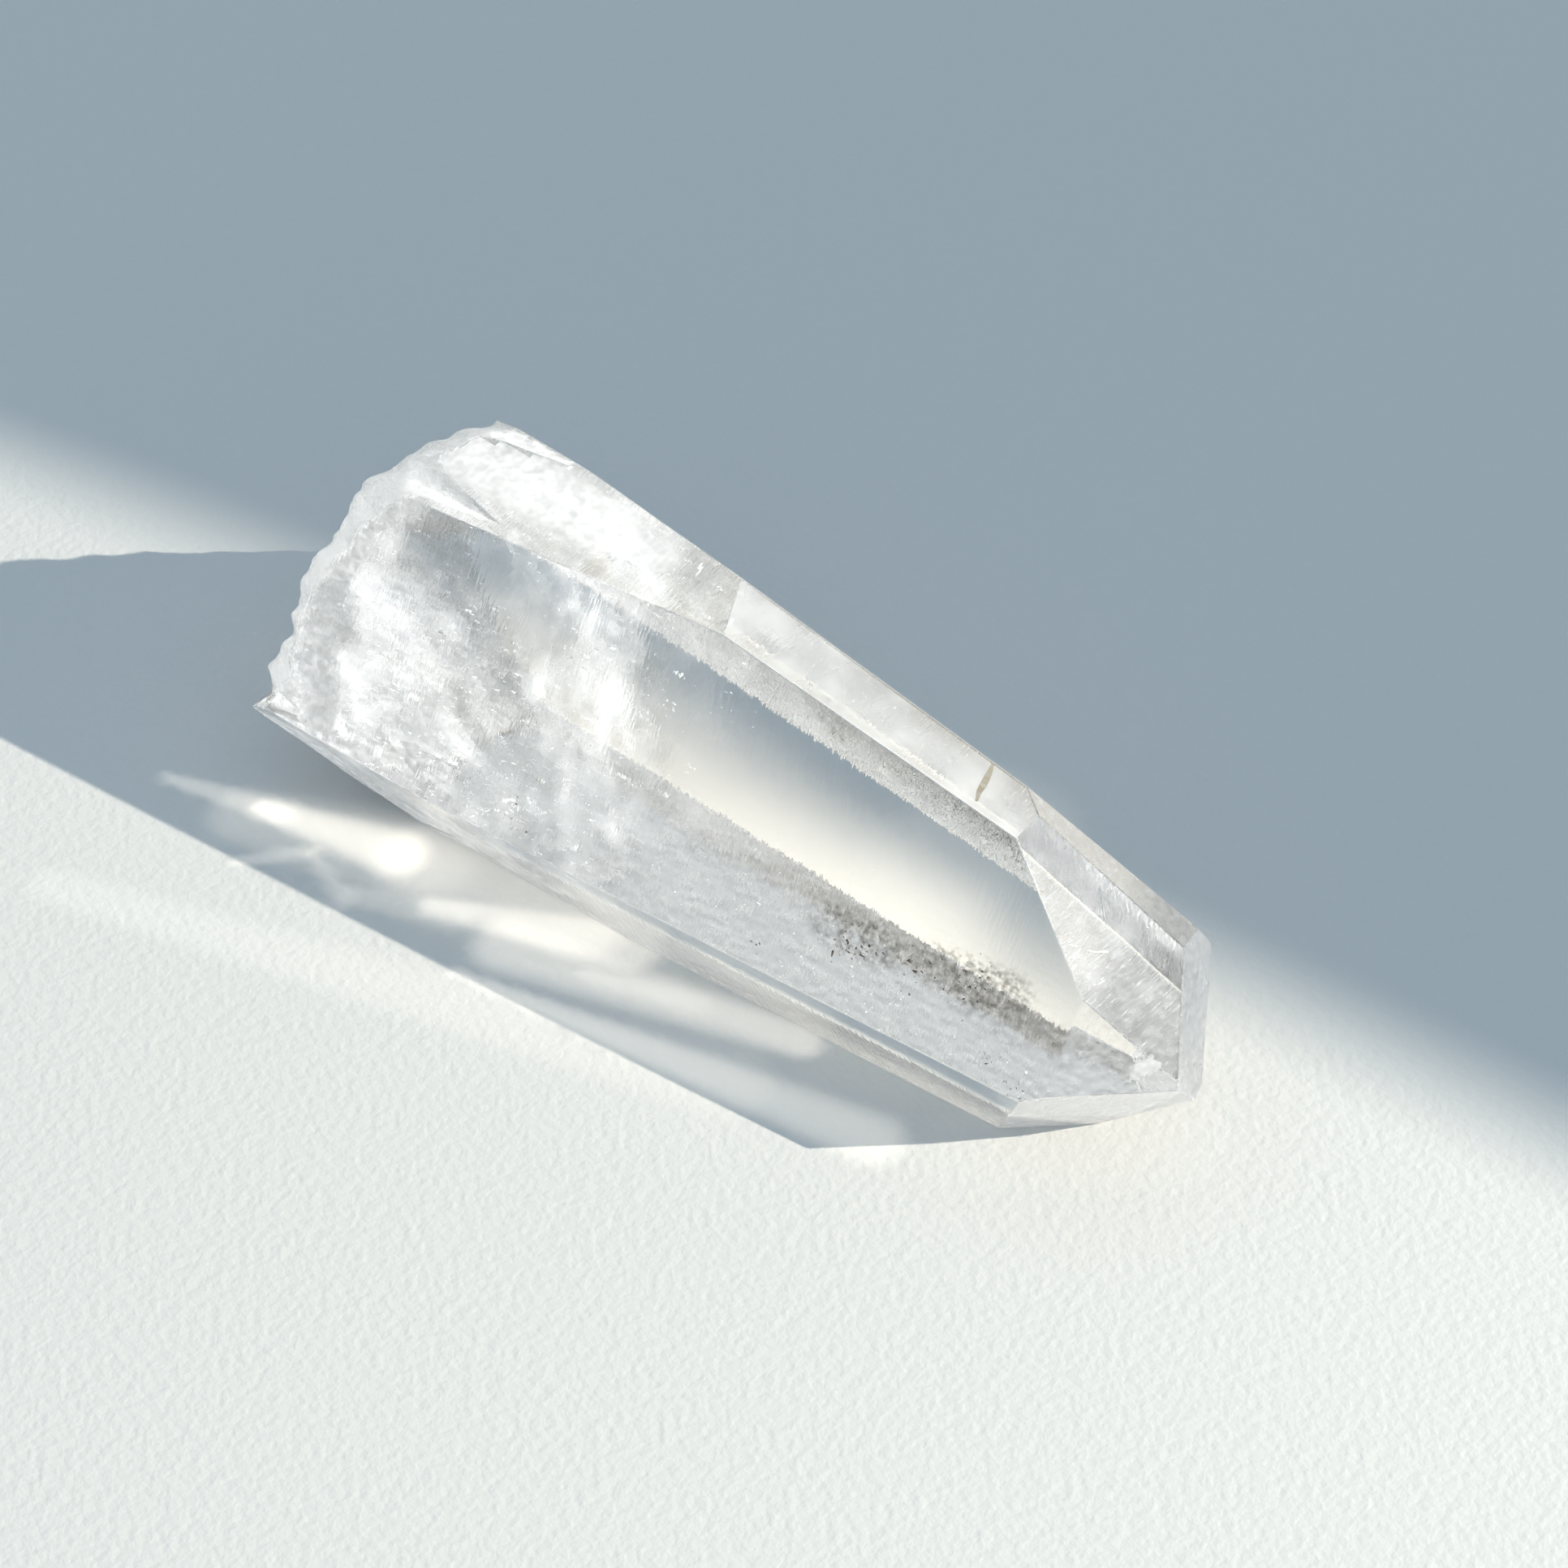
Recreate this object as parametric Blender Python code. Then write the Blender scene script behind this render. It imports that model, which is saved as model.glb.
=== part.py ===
"""Natural clear quartz point, lying on its lowest prism face.

Frame: metres, +Z up, +X along the crystal towards its point, +Y away from the broad
side face.  The origin is the bottom centre of the crystal's bounding box.

A quartz crystal is bounded by flat growth faces.  Each one is given here as it would be
measured on the specimen: its turn about the long axis, its lean towards the point, and
its distance from one centre point.  A block is cut back to every face in turn, the
broken root is cut by a rough shell-like fracture surface, and small chips are taken
from the edges.
"""

import math

import bmesh
import bpy
from mathutils import Matrix, Vector, noise

MM = 0.001
NAME = "quartz_point"

# Long axis: slopes down a little towards the point while the crystal rests
AXIS_SLOPE_DEG = 2.71

# Blank that the crystal is cut from, about the centre point
BLANK_SIZE_MM = 150.0
FLOOR_DEPTH_MM = 14.0

# Growth faces: turn about the axis (0 = near side, 90 = up, 180 = far side, 270 = down),
# lean towards the point, distance from the centre point in millimetres
PRISM_FACES = {
    "broad_side": (29.2, 5.8, 9.9),
    "top": (89.7, 6.0, 17.5),
    "top_root": (84.8, -3.2, 18.3),
    "far_upper": (150.0, 1.8, 12.0),
    "far_upper_root": (150.0, -0.6, 13.0),
    "far_lower": (210.0, 2.0, 17.1),
    "near_strip": (-24.5, 5.9, 14.5),
    "near_strip_root": (-21.0, 8.3, 13.6),
}
POINT_FACES = {
    "point_top": (90.7, 38.9, 27.0),
    "point_broad": (31.4, 36.1, 25.6),
    "point_near": (-34.5, 39.7, 27.7),
    "point_under": (268.9, 48.8, 34.6),
    "point_far_upper": (144.6, 56.6, 35.2),
    "point_far_lower": (212.0, 40.0, 31.4),
    "steep_sliver": (126.3, 24.1, 22.5),
}

# Broken root: how far back it reaches, and how it rounds off to the faces
ROOT_BACK_MM = -45.0
ROOT_SIDE_RISE_MM = 8.5
ROOT_SIDE_DEPTH_MM = 2.2
ROOT_TOP_RISE_MM = 8.5
ROOT_TOP_DEPTH_MM = 5.0
ROOT_FAR_RISE_MM = 6.0
ROOT_FAR_DEPTH_MM = 4.0
ROOT_UNDERCUT_START_MM = -28.5
ROOT_UNDERCUT_SLOPE = 1.5
FRACTURE_HALF_WIDTH_MM = 26.0
FRACTURE_CELLS = 76
FRACTURE_BLOCK_DEPTH_MM = 40.0
RIPPLE_HEIGHT_MM = 0.35
RIPPLE_SPACING_MM = 2.6
RIPPLE_CENTRE_MM = (6.0, 16.0)
LUMP_HEIGHT_MM = 1.6
LUMP_SIZE_MM = 7.0
GRIT_HEIGHT_MM = 0.7
GRIT_SIZE_MM = 2.2

# Chips knocked from the edges: the two faces that meet there, the distance along the
# axis from the centre point, the chip's radius and how deep it bites
CHIPS = (
    ("broad_side", "near_strip", 27.5, 1.3, 0.45),
    ("broad_side", "near_strip", 17.0, 0.9, 0.30),
    ("broad_side", "near_strip", 2.0, 1.1, 0.35),
    ("broad_side", "near_strip", -9.0, 1.5, 0.45),
    ("broad_side", "near_strip", -22.0, 1.4, 0.50),
    ("broad_side", "top", 12.0, 0.8, 0.22),
    ("broad_side", "top_root", -20.0, 1.2, 0.35),
    ("top", "far_upper", 10.0, 0.9, 0.30),
    ("top_root", "far_upper_root", -24.0, 1.3, 0.45),
    ("far_upper", "far_lower", 14.0, 1.4, 0.50),
    ("far_upper", "far_lower", -12.0, 1.8, 0.60),
    ("point_top", "point_broad", 37.5, 0.8, 0.30),
    ("point_top", "point_broad", 40.2, 0.7, 0.25),
)
CHIP_SQUASH = 0.6

# Growth ledge on the near face of the point
LEDGE_DROP_MM = 0.35
LEDGE_START_MM = 34.8

CRYSTAL_COLOUR = (0.93, 0.95, 0.94, 1.0)
CRYSTAL_ROUGHNESS = 0.03
CRYSTAL_IOR = 1.544


def remove_all_objects():
    for old in list(bpy.data.objects):
        bpy.data.objects.remove(old, do_unlink=True)


def new_collection(name):
    collection = bpy.data.collections.new(name)
    bpy.context.scene.collection.children.link(collection)
    return collection


def crystal_axes():
    """The long axis, the upward side and the near side, each square to the others."""
    slope = math.radians(AXIS_SLOPE_DEG)
    along = Vector((math.cos(slope), 0.0, -math.sin(slope)))
    upward = Vector((math.sin(slope), 0.0, math.cos(slope)))
    near = Vector((0.0, -1.0, 0.0))
    return along, upward, near


def face_normal(turn_deg, lean_deg):
    along, upward, near = crystal_axes()
    turn = math.radians(turn_deg)
    lean = math.radians(lean_deg)
    outward = math.cos(turn) * near + math.sin(turn) * upward
    return math.sin(lean) * along + math.cos(lean) * outward


def all_faces():
    return {**PRISM_FACES, **POINT_FACES}


def face_depth(face_name, point):
    """How far a point in millimetres lies inside the named face."""
    turn, lean, distance = all_faces()[face_name]
    return distance - face_normal(turn, lean).dot(point)


def cut_back_to_plane(mesh, point, normal):
    """Takes away what is outside a plane and closes the cut with one face."""
    geometry = mesh.verts[:] + mesh.edges[:] + mesh.faces[:]
    cut = bmesh.ops.bisect_plane(
        mesh, geom=geometry, dist=1e-7, plane_co=point, plane_no=normal, clear_outer=True
    )
    rim = [item for item in cut["geom_cut"] if isinstance(item, bmesh.types.BMEdge)]
    bmesh.ops.contextual_create(mesh, geom=rim)


def grown_crystal():
    """The crystal as it grew: a block cut back to each growth face and to the floor."""
    mesh = bmesh.new()
    bmesh.ops.create_cube(mesh, size=BLANK_SIZE_MM * MM)
    for turn, lean, distance in all_faces().values():
        normal = face_normal(turn, lean)
        cut_back_to_plane(mesh, normal * distance * MM, normal)
    down = Vector((0.0, 0.0, -1.0))
    cut_back_to_plane(mesh, down * FLOOR_DEPTH_MM * MM, down)
    bmesh.ops.recalc_face_normals(mesh, faces=mesh.faces[:])
    return mesh


def fracture_position(y, z):
    """Where the break crosses a line along the axis, in millimetres.

    The break bulges backwards in the middle and rounds off towards the faces.  It is
    undercut towards the floor, and carries shell-like ripples, lumps and grit.
    """
    middle = Vector((ROOT_BACK_MM, y, z))
    side = max(face_depth("broad_side", middle), 0.0)
    top = max(face_depth("top_root", middle), 0.0)
    far = max(face_depth("far_upper_root", middle), 0.0)
    x = ROOT_BACK_MM
    x += ROOT_SIDE_RISE_MM * math.exp(-side / ROOT_SIDE_DEPTH_MM)
    x += ROOT_TOP_RISE_MM * math.exp(-top / ROOT_TOP_DEPTH_MM)
    x += ROOT_FAR_RISE_MM * math.exp(-far / ROOT_FAR_DEPTH_MM)
    height = z + FLOOR_DEPTH_MM
    undercut = ROOT_UNDERCUT_START_MM - ROOT_UNDERCUT_SLOPE * height
    x = max(x, undercut)
    radius = math.hypot(y - RIPPLE_CENTRE_MM[0], z - RIPPLE_CENTRE_MM[1])
    x += RIPPLE_HEIGHT_MM * math.sin(2.0 * math.pi * radius / RIPPLE_SPACING_MM)
    x += LUMP_HEIGHT_MM * noise.noise(Vector((y, z, 3.0)) / LUMP_SIZE_MM)
    x += GRIT_HEIGHT_MM * noise.noise(Vector((y, z, 9.0)) / GRIT_SIZE_MM)
    return x


def fracture_block():
    """Closed block behind the break, whose front is the fracture surface."""
    mesh = bmesh.new()
    turn_to_axis = Matrix.Rotation(math.radians(90.0), 3, "Y")
    bmesh.ops.create_grid(
        mesh,
        x_segments=FRACTURE_CELLS,
        y_segments=FRACTURE_CELLS,
        size=FRACTURE_HALF_WIDTH_MM * MM,
    )
    bmesh.ops.rotate(mesh, verts=mesh.verts[:], matrix=turn_to_axis)
    front = mesh.faces[:]
    grown = bmesh.ops.extrude_face_region(mesh, geom=front)
    back = [item for item in grown["geom"] if isinstance(item, bmesh.types.BMVert)]
    back_set = set(back)
    for vertex in mesh.verts:
        if vertex in back_set:
            vertex.co.x = (ROOT_BACK_MM - FRACTURE_BLOCK_DEPTH_MM) * MM
        else:
            vertex.co.x = fracture_position(vertex.co.y / MM, vertex.co.z / MM) * MM
    bmesh.ops.recalc_face_normals(mesh, faces=mesh.faces[:])
    return mesh


def edge_point(first, second, along_mm):
    """Point where two growth faces meet, at a distance along the axis."""
    along = crystal_axes()[0]
    rows = []
    distances = []
    for face_name in (first, second):
        turn, lean, distance = all_faces()[face_name]
        rows.append(face_normal(turn, lean))
        distances.append(distance)
    system = Matrix((rows[0], rows[1], along))
    return system.inverted() @ Vector((distances[0], distances[1], along_mm))


def chip_cutter(first, second, along_mm, radius_mm, bite_mm):
    """A faceted pebble that bites into an edge between two faces."""
    centre = edge_point(first, second, along_mm)
    outward = Vector((0.0, 0.0, 0.0))
    for face_name in (first, second):
        turn, lean, _ = all_faces()[face_name]
        outward += face_normal(turn, lean)
    outward.normalize()
    mesh = bmesh.new()
    bmesh.ops.create_icosphere(mesh, subdivisions=2, radius=radius_mm * MM)
    bmesh.ops.scale(mesh, verts=mesh.verts[:], vec=(1.0, 1.0, CHIP_SQUASH))
    # The place along the edge also serves as the turn, so no two chips look alike
    spin = Matrix.Rotation(along_mm, 3, "Z")
    tilt = outward.to_track_quat("Z", "Y").to_matrix()
    bmesh.ops.rotate(mesh, verts=mesh.verts[:], matrix=tilt @ spin)
    standing_off = radius_mm * CHIP_SQUASH - bite_mm
    bmesh.ops.translate(
        mesh, verts=mesh.verts[:], vec=(centre + outward * standing_off) * MM
    )
    return mesh


def ledge_cutter():
    """A block that leaves a low growth ledge on the near face of the point."""
    turn, lean, distance = POINT_FACES["point_near"]
    normal = face_normal(turn, lean)
    along = crystal_axes()[0]
    mesh = bmesh.new()
    width = FRACTURE_HALF_WIDTH_MM
    bmesh.ops.create_cube(mesh, size=width * MM)
    sideways = along.cross(normal).normalized()
    downslope = normal.cross(sideways).normalized()
    turn_to_face = Matrix((downslope, sideways, normal)).transposed()
    bmesh.ops.rotate(mesh, verts=mesh.verts[:], matrix=turn_to_face)
    centre = normal * (distance - LEDGE_DROP_MM + width / 2.0)
    reach = LEDGE_START_MM + width / 2.0 - centre.dot(along)
    centre += downslope * (reach / downslope.dot(along))
    bmesh.ops.translate(mesh, verts=mesh.verts[:], vec=centre * MM)
    return mesh


def object_from(mesh, name, collection):
    data = bpy.data.meshes.new(name)
    mesh.to_mesh(data)
    mesh.free()
    made = bpy.data.objects.new(name, data)
    collection.objects.link(made)
    return made


def subtract(target, cutter):
    """Exact Boolean difference; the cutter stays as a hidden wire guide."""
    cutter.hide_render = True
    cutter.display_type = "WIRE"
    modifier = target.modifiers.new("cut_" + cutter.name, "BOOLEAN")
    modifier.operation = "DIFFERENCE"
    modifier.solver = "EXACT"
    modifier.object = cutter


def applied_mesh(target):
    """The object's mesh with its modifiers worked out."""
    depsgraph = bpy.context.evaluated_depsgraph_get()
    evaluated = target.evaluated_get(depsgraph)
    return bpy.data.meshes.new_from_object(evaluated)


def stand_on_origin(data):
    """Moves the mesh so that the origin is the bottom centre of its bounding box."""
    xs = [vertex.co.x for vertex in data.vertices]
    ys = [vertex.co.y for vertex in data.vertices]
    zs = [vertex.co.z for vertex in data.vertices]
    shift = Vector((-(min(xs) + max(xs)) / 2.0, -(min(ys) + max(ys)) / 2.0, -min(zs)))
    data.transform(Matrix.Translation(shift))


def clear_quartz():
    material = bpy.data.materials.new("clear_quartz")
    material.use_nodes = True
    shader = material.node_tree.nodes["Principled BSDF"]
    shader.inputs["Base Color"].default_value = CRYSTAL_COLOUR
    shader.inputs["Roughness"].default_value = CRYSTAL_ROUGHNESS
    shader.inputs["Metallic"].default_value = 0.0
    shader.inputs["IOR"].default_value = CRYSTAL_IOR
    shader.inputs["Transmission Weight"].default_value = 1.0
    return material


def main():
    remove_all_objects()
    parts = new_collection("clear quartz point")
    cutters = new_collection("cutters")

    crystal = object_from(grown_crystal(), NAME, parts)
    subtract(crystal, object_from(fracture_block(), "fracture", cutters))
    subtract(crystal, object_from(ledge_cutter(), "ledge", cutters))
    for number, chip in enumerate(CHIPS, start=1):
        cutter = object_from(chip_cutter(*chip), f"chip_{number:02d}", cutters)
        subtract(crystal, cutter)

    data = applied_mesh(crystal)
    crystal.modifiers.clear()
    crystal.data = data
    stand_on_origin(data)
    data.materials.clear()
    data.materials.append(clear_quartz())


main()
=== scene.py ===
"""Looks of a clear quartz point: crystal faces, broken root, inner veils, floor and light.

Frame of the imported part: metres, +X towards the crystal's point, +Z up, and the broad
side face looks towards -Y.
"""

import itertools
import math

import bmesh
import bpy
import numpy as np
from bpy.props import FloatProperty, IntProperty, PointerProperty, StringProperty
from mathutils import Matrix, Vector


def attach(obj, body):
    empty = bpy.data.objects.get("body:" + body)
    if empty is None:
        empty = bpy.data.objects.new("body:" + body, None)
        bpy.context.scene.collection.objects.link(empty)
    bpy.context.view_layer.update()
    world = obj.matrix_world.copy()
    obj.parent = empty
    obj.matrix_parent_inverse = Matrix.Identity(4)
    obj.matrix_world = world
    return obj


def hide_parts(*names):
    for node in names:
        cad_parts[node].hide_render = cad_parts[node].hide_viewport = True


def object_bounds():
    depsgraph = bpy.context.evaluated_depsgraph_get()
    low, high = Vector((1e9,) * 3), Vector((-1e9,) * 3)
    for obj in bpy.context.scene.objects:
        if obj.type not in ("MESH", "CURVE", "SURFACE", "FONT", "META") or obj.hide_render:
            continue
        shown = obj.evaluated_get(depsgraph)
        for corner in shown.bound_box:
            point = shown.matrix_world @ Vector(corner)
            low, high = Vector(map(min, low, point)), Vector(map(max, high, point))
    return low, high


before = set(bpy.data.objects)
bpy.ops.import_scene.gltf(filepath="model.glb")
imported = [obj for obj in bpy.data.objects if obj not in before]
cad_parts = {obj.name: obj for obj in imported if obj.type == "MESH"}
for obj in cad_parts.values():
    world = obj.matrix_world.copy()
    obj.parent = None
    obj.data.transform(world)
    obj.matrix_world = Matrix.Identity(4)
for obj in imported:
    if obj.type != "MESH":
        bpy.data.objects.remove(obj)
CAD_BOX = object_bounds()

bl_info = {
    "name": "Clear quartz point",
    "version": (1, 0, 0),
    "blender": (4, 5, 0),
    "location": "3D View > Sidebar > Quartz",
    "description": "Makes a clear quartz point with its veils, and its light",
    "category": "Add Mesh",
}

MM = 0.001

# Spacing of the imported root's surface points
ROOT_CELL_MM = 0.684
NODE = "quartz_point"
BODY = "root"

# Long axis of the crystal, which slopes a little towards the point
AXIS_SLOPE_DEG = 2.71
ALONG = np.array([math.cos(math.radians(AXIS_SLOPE_DEG)), 0.0, -math.sin(math.radians(AXIS_SLOPE_DEG))])

QUARTZ_IOR = 1.544

# Water in the tiny bubbles of a healed crack
FLUID_IOR = 1.33

# What light loses on its way through the crystal, per metre
ABSORPTION_PER_M = 3.0

# Relief of the faces: striations across the crystal, growth hillocks, grit of the root
STRIATION_GAP_MM = 0.28
STRIATION_LENGTH_MM = 1.8
STRIATION_HEIGHT_MM = 0.035
HILLOCK_WIDTH_MM = 3.0
HILLOCK_HEIGHT_MM = 0.03
GRIT_WIDTH_MM = 0.35
GRIT_HEIGHT_MM = 0.12
FACE_ROUGHNESS = 0.015
ROOT_ROUGHNESS = 0.32

# Ripples of the broken root: width in millimetres, height as a share of the grit setting
ROOT_RIPPLES = (
    (2.3, 3.0),
    (0.9, 1.5),
    (0.4, 0.6),
)
BEVEL_ANGLE_DEG = 4.0

# What counts as one growth face: how far apart its triangles' planes may lie, how alike
# their normals are, its least area in square millimetres, and how many sets are tried
SAME_PLANE_MM = 0.02
SAME_NORMAL = 0.99999
GROWTH_FACE_MM2 = 3.0
PLANE_TRIES = 60

# The block that cuts the root: how deep it is, and how far the body reaches into it
BLOCK_DEPTH_MM = 12.0
BODY_PAST_ROOT_MM = 3.0

# Faces whose normal leans less than this towards the point carry striations in full, and
# the others this share of them
STRIATED_LEAN = 0.2
FAINT_SHARE = 0.15

# Directions that the broad side face and the top face look in
BROAD_SIDE = (0.1, -0.87, 0.49)
TOP_FACE = (0.1, 0.0, 1.0)
TOP_ROOT_FACE = (-0.1, -0.09, 0.99)

# Milky half: where along the crystal the cloud ends, and over what length it thins out
CLOUD_END_MM = -5.0
CLOUD_FADE_MM = 14.0
CLOUD_MARGIN_MM = 0.5

# How the cloud's flakes lie: their mean normal and the way their long axis runs
FLAKE_NORMAL = (0.7, 0.1, 0.7)
FLAKE_RUN = (0.2, 0.75, -0.5)

# Clear sight lines through the cloud: pixel, radius in millimetres, how clear
CLEAR_LINES = (
    (530, 680, 3.6, 0.90),
    (610, 700, 3.8, 0.90),
    (665, 770, 3.6, 0.85),
    (860, 860, 3.0, 0.60),
)

# Veils: place along the crystal in millimetres, and normal
VEILS = (
    (-37.0, (1.0, -0.3, 0.2)),
    (-22.0, (0.6, -0.6, 0.4)),
    (-17.0, (0.9, 0.3, 0.5)),
    (-24.0, (0.1, -0.7, 0.7)),
)

VEIL_GRID = 60
VEIL_SIDE_MM = 46.0
VEIL_MIDDLE_MM = 16.0
VEIL_SPREAD_MM = 3.0
VEIL_WAVE_MM = 7.0
VEIL_RIPPLE_MM = 2.0

# A veil ends where the crystal is clearer than this
LEAST_MILK = 0.04

# Glints and specks: pixel, spread in millimetres, how many, depth behind the broad face
GLINT_GROUPS = (
    (790, 850, 2.2, 60, 3.0),
    (735, 1095, 1.0, 12, 1.0),
    (1094, 1370, 0.8, 8, 0.6),
    (560, 760, 9.0, 120, 3.0),
    (640, 880, 8.0, 140, 3.0),
    (760, 780, 6.0, 90, 3.0),
    (1030, 1240, 9.0, 260, 1.5),
    (900, 1160, 8.0, 220, 1.5),
    (1120, 1300, 7.0, 260, 1.5),
    (1230, 1350, 4.0, 90, 1.0),
    (900, 880, 4.0, 60, 2.0),
)
SPECK_GROUPS = (
    (1250, 1342, 0.9, 14, 1.0),
    (1216, 1302, 0.9, 8, 1.0),
    (1056, 1162, 2.2, 80, 1.5),
    (1200, 1218, 2.2, 90, 1.5),
    (1125, 1196, 2.2, 50, 1.5),
    (635, 1015, 2.4, 24, 2.0),
    (930, 1168, 1.2, 6, 1.5),
)

# Name, groups, length in millimetres, colour and material of the glints and the specks
# White glints are painted highlights of cracks that face the light; dark specks are painted shade of cracks
# turned away
FLECKS = (
    ("bright_glints", GLINT_GROUPS, 0.14, "#FFFFFF", "crack_facets_painted_glints"),
    ("dark_specks", SPECK_GROUPS, 0.24, "#453D33", "crack_facets_painted_shade"),
)

# Crushed skin: how deep under the broken root it lies
FROST_DEPTH_MM = 0.4

# Haze sheets, partly fine etching and partly painted sheen: depth under the faces and where they start along
# the crystal
HAZE_DEPTH_MM = 0.25
HAZE_START_MM = -27.0
HAZE_FULL_MM = -12.0
POINT_TOP = (0.63, 0.0, 0.78)
POINT_BROAD = (0.59, -0.69, 0.42)
BASE_FACE = (0.05, 0.0, -1.0)
# Name, the face's direction, cover where thin and where thick, size of its patches in mm
HAZES = (
    ("top_haze", TOP_FACE, 0.20, 0.42, 5.0),
    ("point_haze", POINT_TOP, 0.02, 0.16, 3.5),
    ("base_haze", BASE_FACE, 0.0, 0.28, 1.0),
)

# Where the noise of a milky skin counts as clear and as crowded
CLEAR_BELOW = 0.36
CROWDED_ABOVE = 0.68

# Uneven tint of the flakes: size of its patches, and how bright the duller ones are
FLAKE_PATCH_MM = 1.5
DULLER_SHARE = 0.85

# Long thin cracks: face, depth in millimetres behind it, first and last pixel
STREAKS_PX = (
    (POINT_BROAD, 0.6, 1366, 1085, 1350, 1142),
    (POINT_BROAD, 0.6, 1374, 1088, 1360, 1140),
    (POINT_BROAD, 0.6, 1384, 1092, 1370, 1136),
    (POINT_BROAD, 0.6, 1394, 1100, 1384, 1134),
    (POINT_BROAD, 0.8, 1300, 1170, 1348, 1164),
    (POINT_BROAD, 0.8, 1330, 1180, 1372, 1168),
    (BROAD_SIDE, 1.0, 514, 950, 578, 926),
    (BROAD_SIDE, 1.0, 520, 938, 560, 930),
    (BROAD_SIDE, 1.4, 590, 650, 622, 672),
)

STREAK_WIDTH_MM = 0.08

# Patches under a face: name, face, depth in mm, colour, cover where thin and where thick,
# size of the grains in mm, and strokes as first and last pixel, two radii in mm and share
PATCHES = (
    # Painted highlight: white where a crack near the root mirrors the sun
    ("root_painted_highlight", TOP_ROOT_FACE, 0.5, "#F7F9F8", 0.5, 1.0, 1.1, (
        (590, 560, 740, 650, 4.0, 4.0, 1.0),
        (720, 630, 810, 690, 2.4, 2.4, 0.7),
    )),
    ("white_rim_patch", BROAD_SIDE, 0.5, "#F7F9F8", 0.35, 1.0, 0.7, (
        (392, 880, 398, 740, 2.4, 2.4, 1.0),
        (398, 740, 448, 640, 2.2, 2.2, 1.0),
        (448, 640, 540, 600, 1.8, 1.8, 0.8),
    )),
    # Painted reflection: white where the point's faces mirror the lit floor inside
    ("point_painted_reflection", POINT_BROAD, 0.5, "#F7F9F8", 0.45, 1.0, 0.9, (
        (1452, 1200, 1462, 1290, 1.0, 1.0, 1.0),
        (1462, 1290, 1400, 1322, 1.0, 1.0, 0.9),
        (1385, 1230, 1440, 1262, 1.8, 1.8, 0.4),
    )),
    # Painted shade: dark brown grains where the faces mirror dim surroundings, mostly along the fringe
    ("painted_shade_grain", BROAD_SIDE, 1.0, "#766E5F", 0.0, 0.62, 0.55, (
        (1020, 1138, 1090, 1172, 2.4, 2.4, 1.0),
        (1150, 1190, 1245, 1226, 2.6, 2.6, 1.0),
        (860, 1036, 1240, 1225, 1.6, 1.6, 0.3),
        (1000, 850, 1040, 900, 1.5, 1.5, 0.6),
        (1185, 1230, 1330, 1300, 2.2, 2.2, 0.5),
    )),
)
PATCH_CELL_MM = 0.4

STAIN_TOP_PX = (1225, 941)
STAIN_BOTTOM_PX = (1201, 987)
STAIN_DEPTH_MM = 0.12
STAIN_HALF_WIDTH_MM = 0.28
STAIN_WANDER_MM = 0.12

# Camera: solved from the crystal's visible corners, in the 1932 pixel square image
IMAGE_SIDE_PX = 1932
FOCAL_PX = 5000.0
SENSOR_MM = 36.0
VIEW_AZIMUTH_DEG = 41.11
VIEW_ELEVATION_DEG = 47.65
VIEW_TARGET_MM = (8.60, -5.95, 25.82)
VIEW_DISTANCE_MM = 315.0

# Key light: its direction from the shadow's outline, and the edge of what it lights
LIGHT_DIRECTION = (0.757, 0.392, 0.522)
LIGHT_EDGE_MIDDLE_MM = (-11.0, 12.5, 0.0)
LIGHT_EDGE_RUN = (0.983, 0.182, 0.0)
LIGHT_CONE_DEG = 35.0
LIGHT_DISTANCE_M = 1.6
LIGHT_EDGE_BLEND = 0.006
LIGHT_RADIUS_M = 0.006
KEY_COLOUR = (1.0, 0.92, 0.78)

# Share of the key light that goes on through the crystal to what lies inside it
THROUGH_SHARE = 1.22
THROUGH_COLOUR = (1.0, 0.99, 1.0)

# Light that the crushed root scatters back to its outer side: direction, irradiance
ROOT_SCATTER_DIRECTION = (-0.75, -0.45, 0.5)
ROOT_SCATTER = 1.6

# What the light that goes through the crystal falls on, and what the root's scatter lights
INNER_PIECES = (
    "milky_cloud", "bright_glints", "dark_specks", "healing_veils", "root_frost", "top_haze",
    "point_haze", "base_haze", "long_cracks", "iron_stain", "root_painted_highlight",
    "white_rim_patch", "point_painted_reflection", "painted_shade_grain",
)
ROOT_SKIN_PIECES = ("root_frost", "white_rim_patch")

# White cards to the left of the crystal, which its faces mirror: direction, width and
# height in metres, radiance
CARDS = (
    ((-0.68, -0.40, 0.62), 0.8, 0.80, 0.62),
    ((-0.55, 0.40, 0.73), 1.1, 0.80, 0.28),
)
CARD_DISTANCE_M = 0.9
CARD_COLOUR = (1.0, 0.82, 0.55)

# Painted caustics: light that the crystal would gather on the floor under it, painted as the
# floor's own glow: strokes in millimetres from x, y to x, y, radius at the first and at the
# last end, share of the key
PAINTED_CAUSTICS_MM = (
    (12.0, 7.0, -33.0, 11.0, 14.0, 14.0, 0.96),
    (26.0, 6.0, 27.0, 5.0, 10.0, 10.0, 0.4),
    (11.0, 20.0, 9.0, 20.0, 8.0, 8.0, 0.2),
    (-42.0, 22.0, -41.0, 22.0, 7.0, 7.0, 0.12),
)
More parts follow.
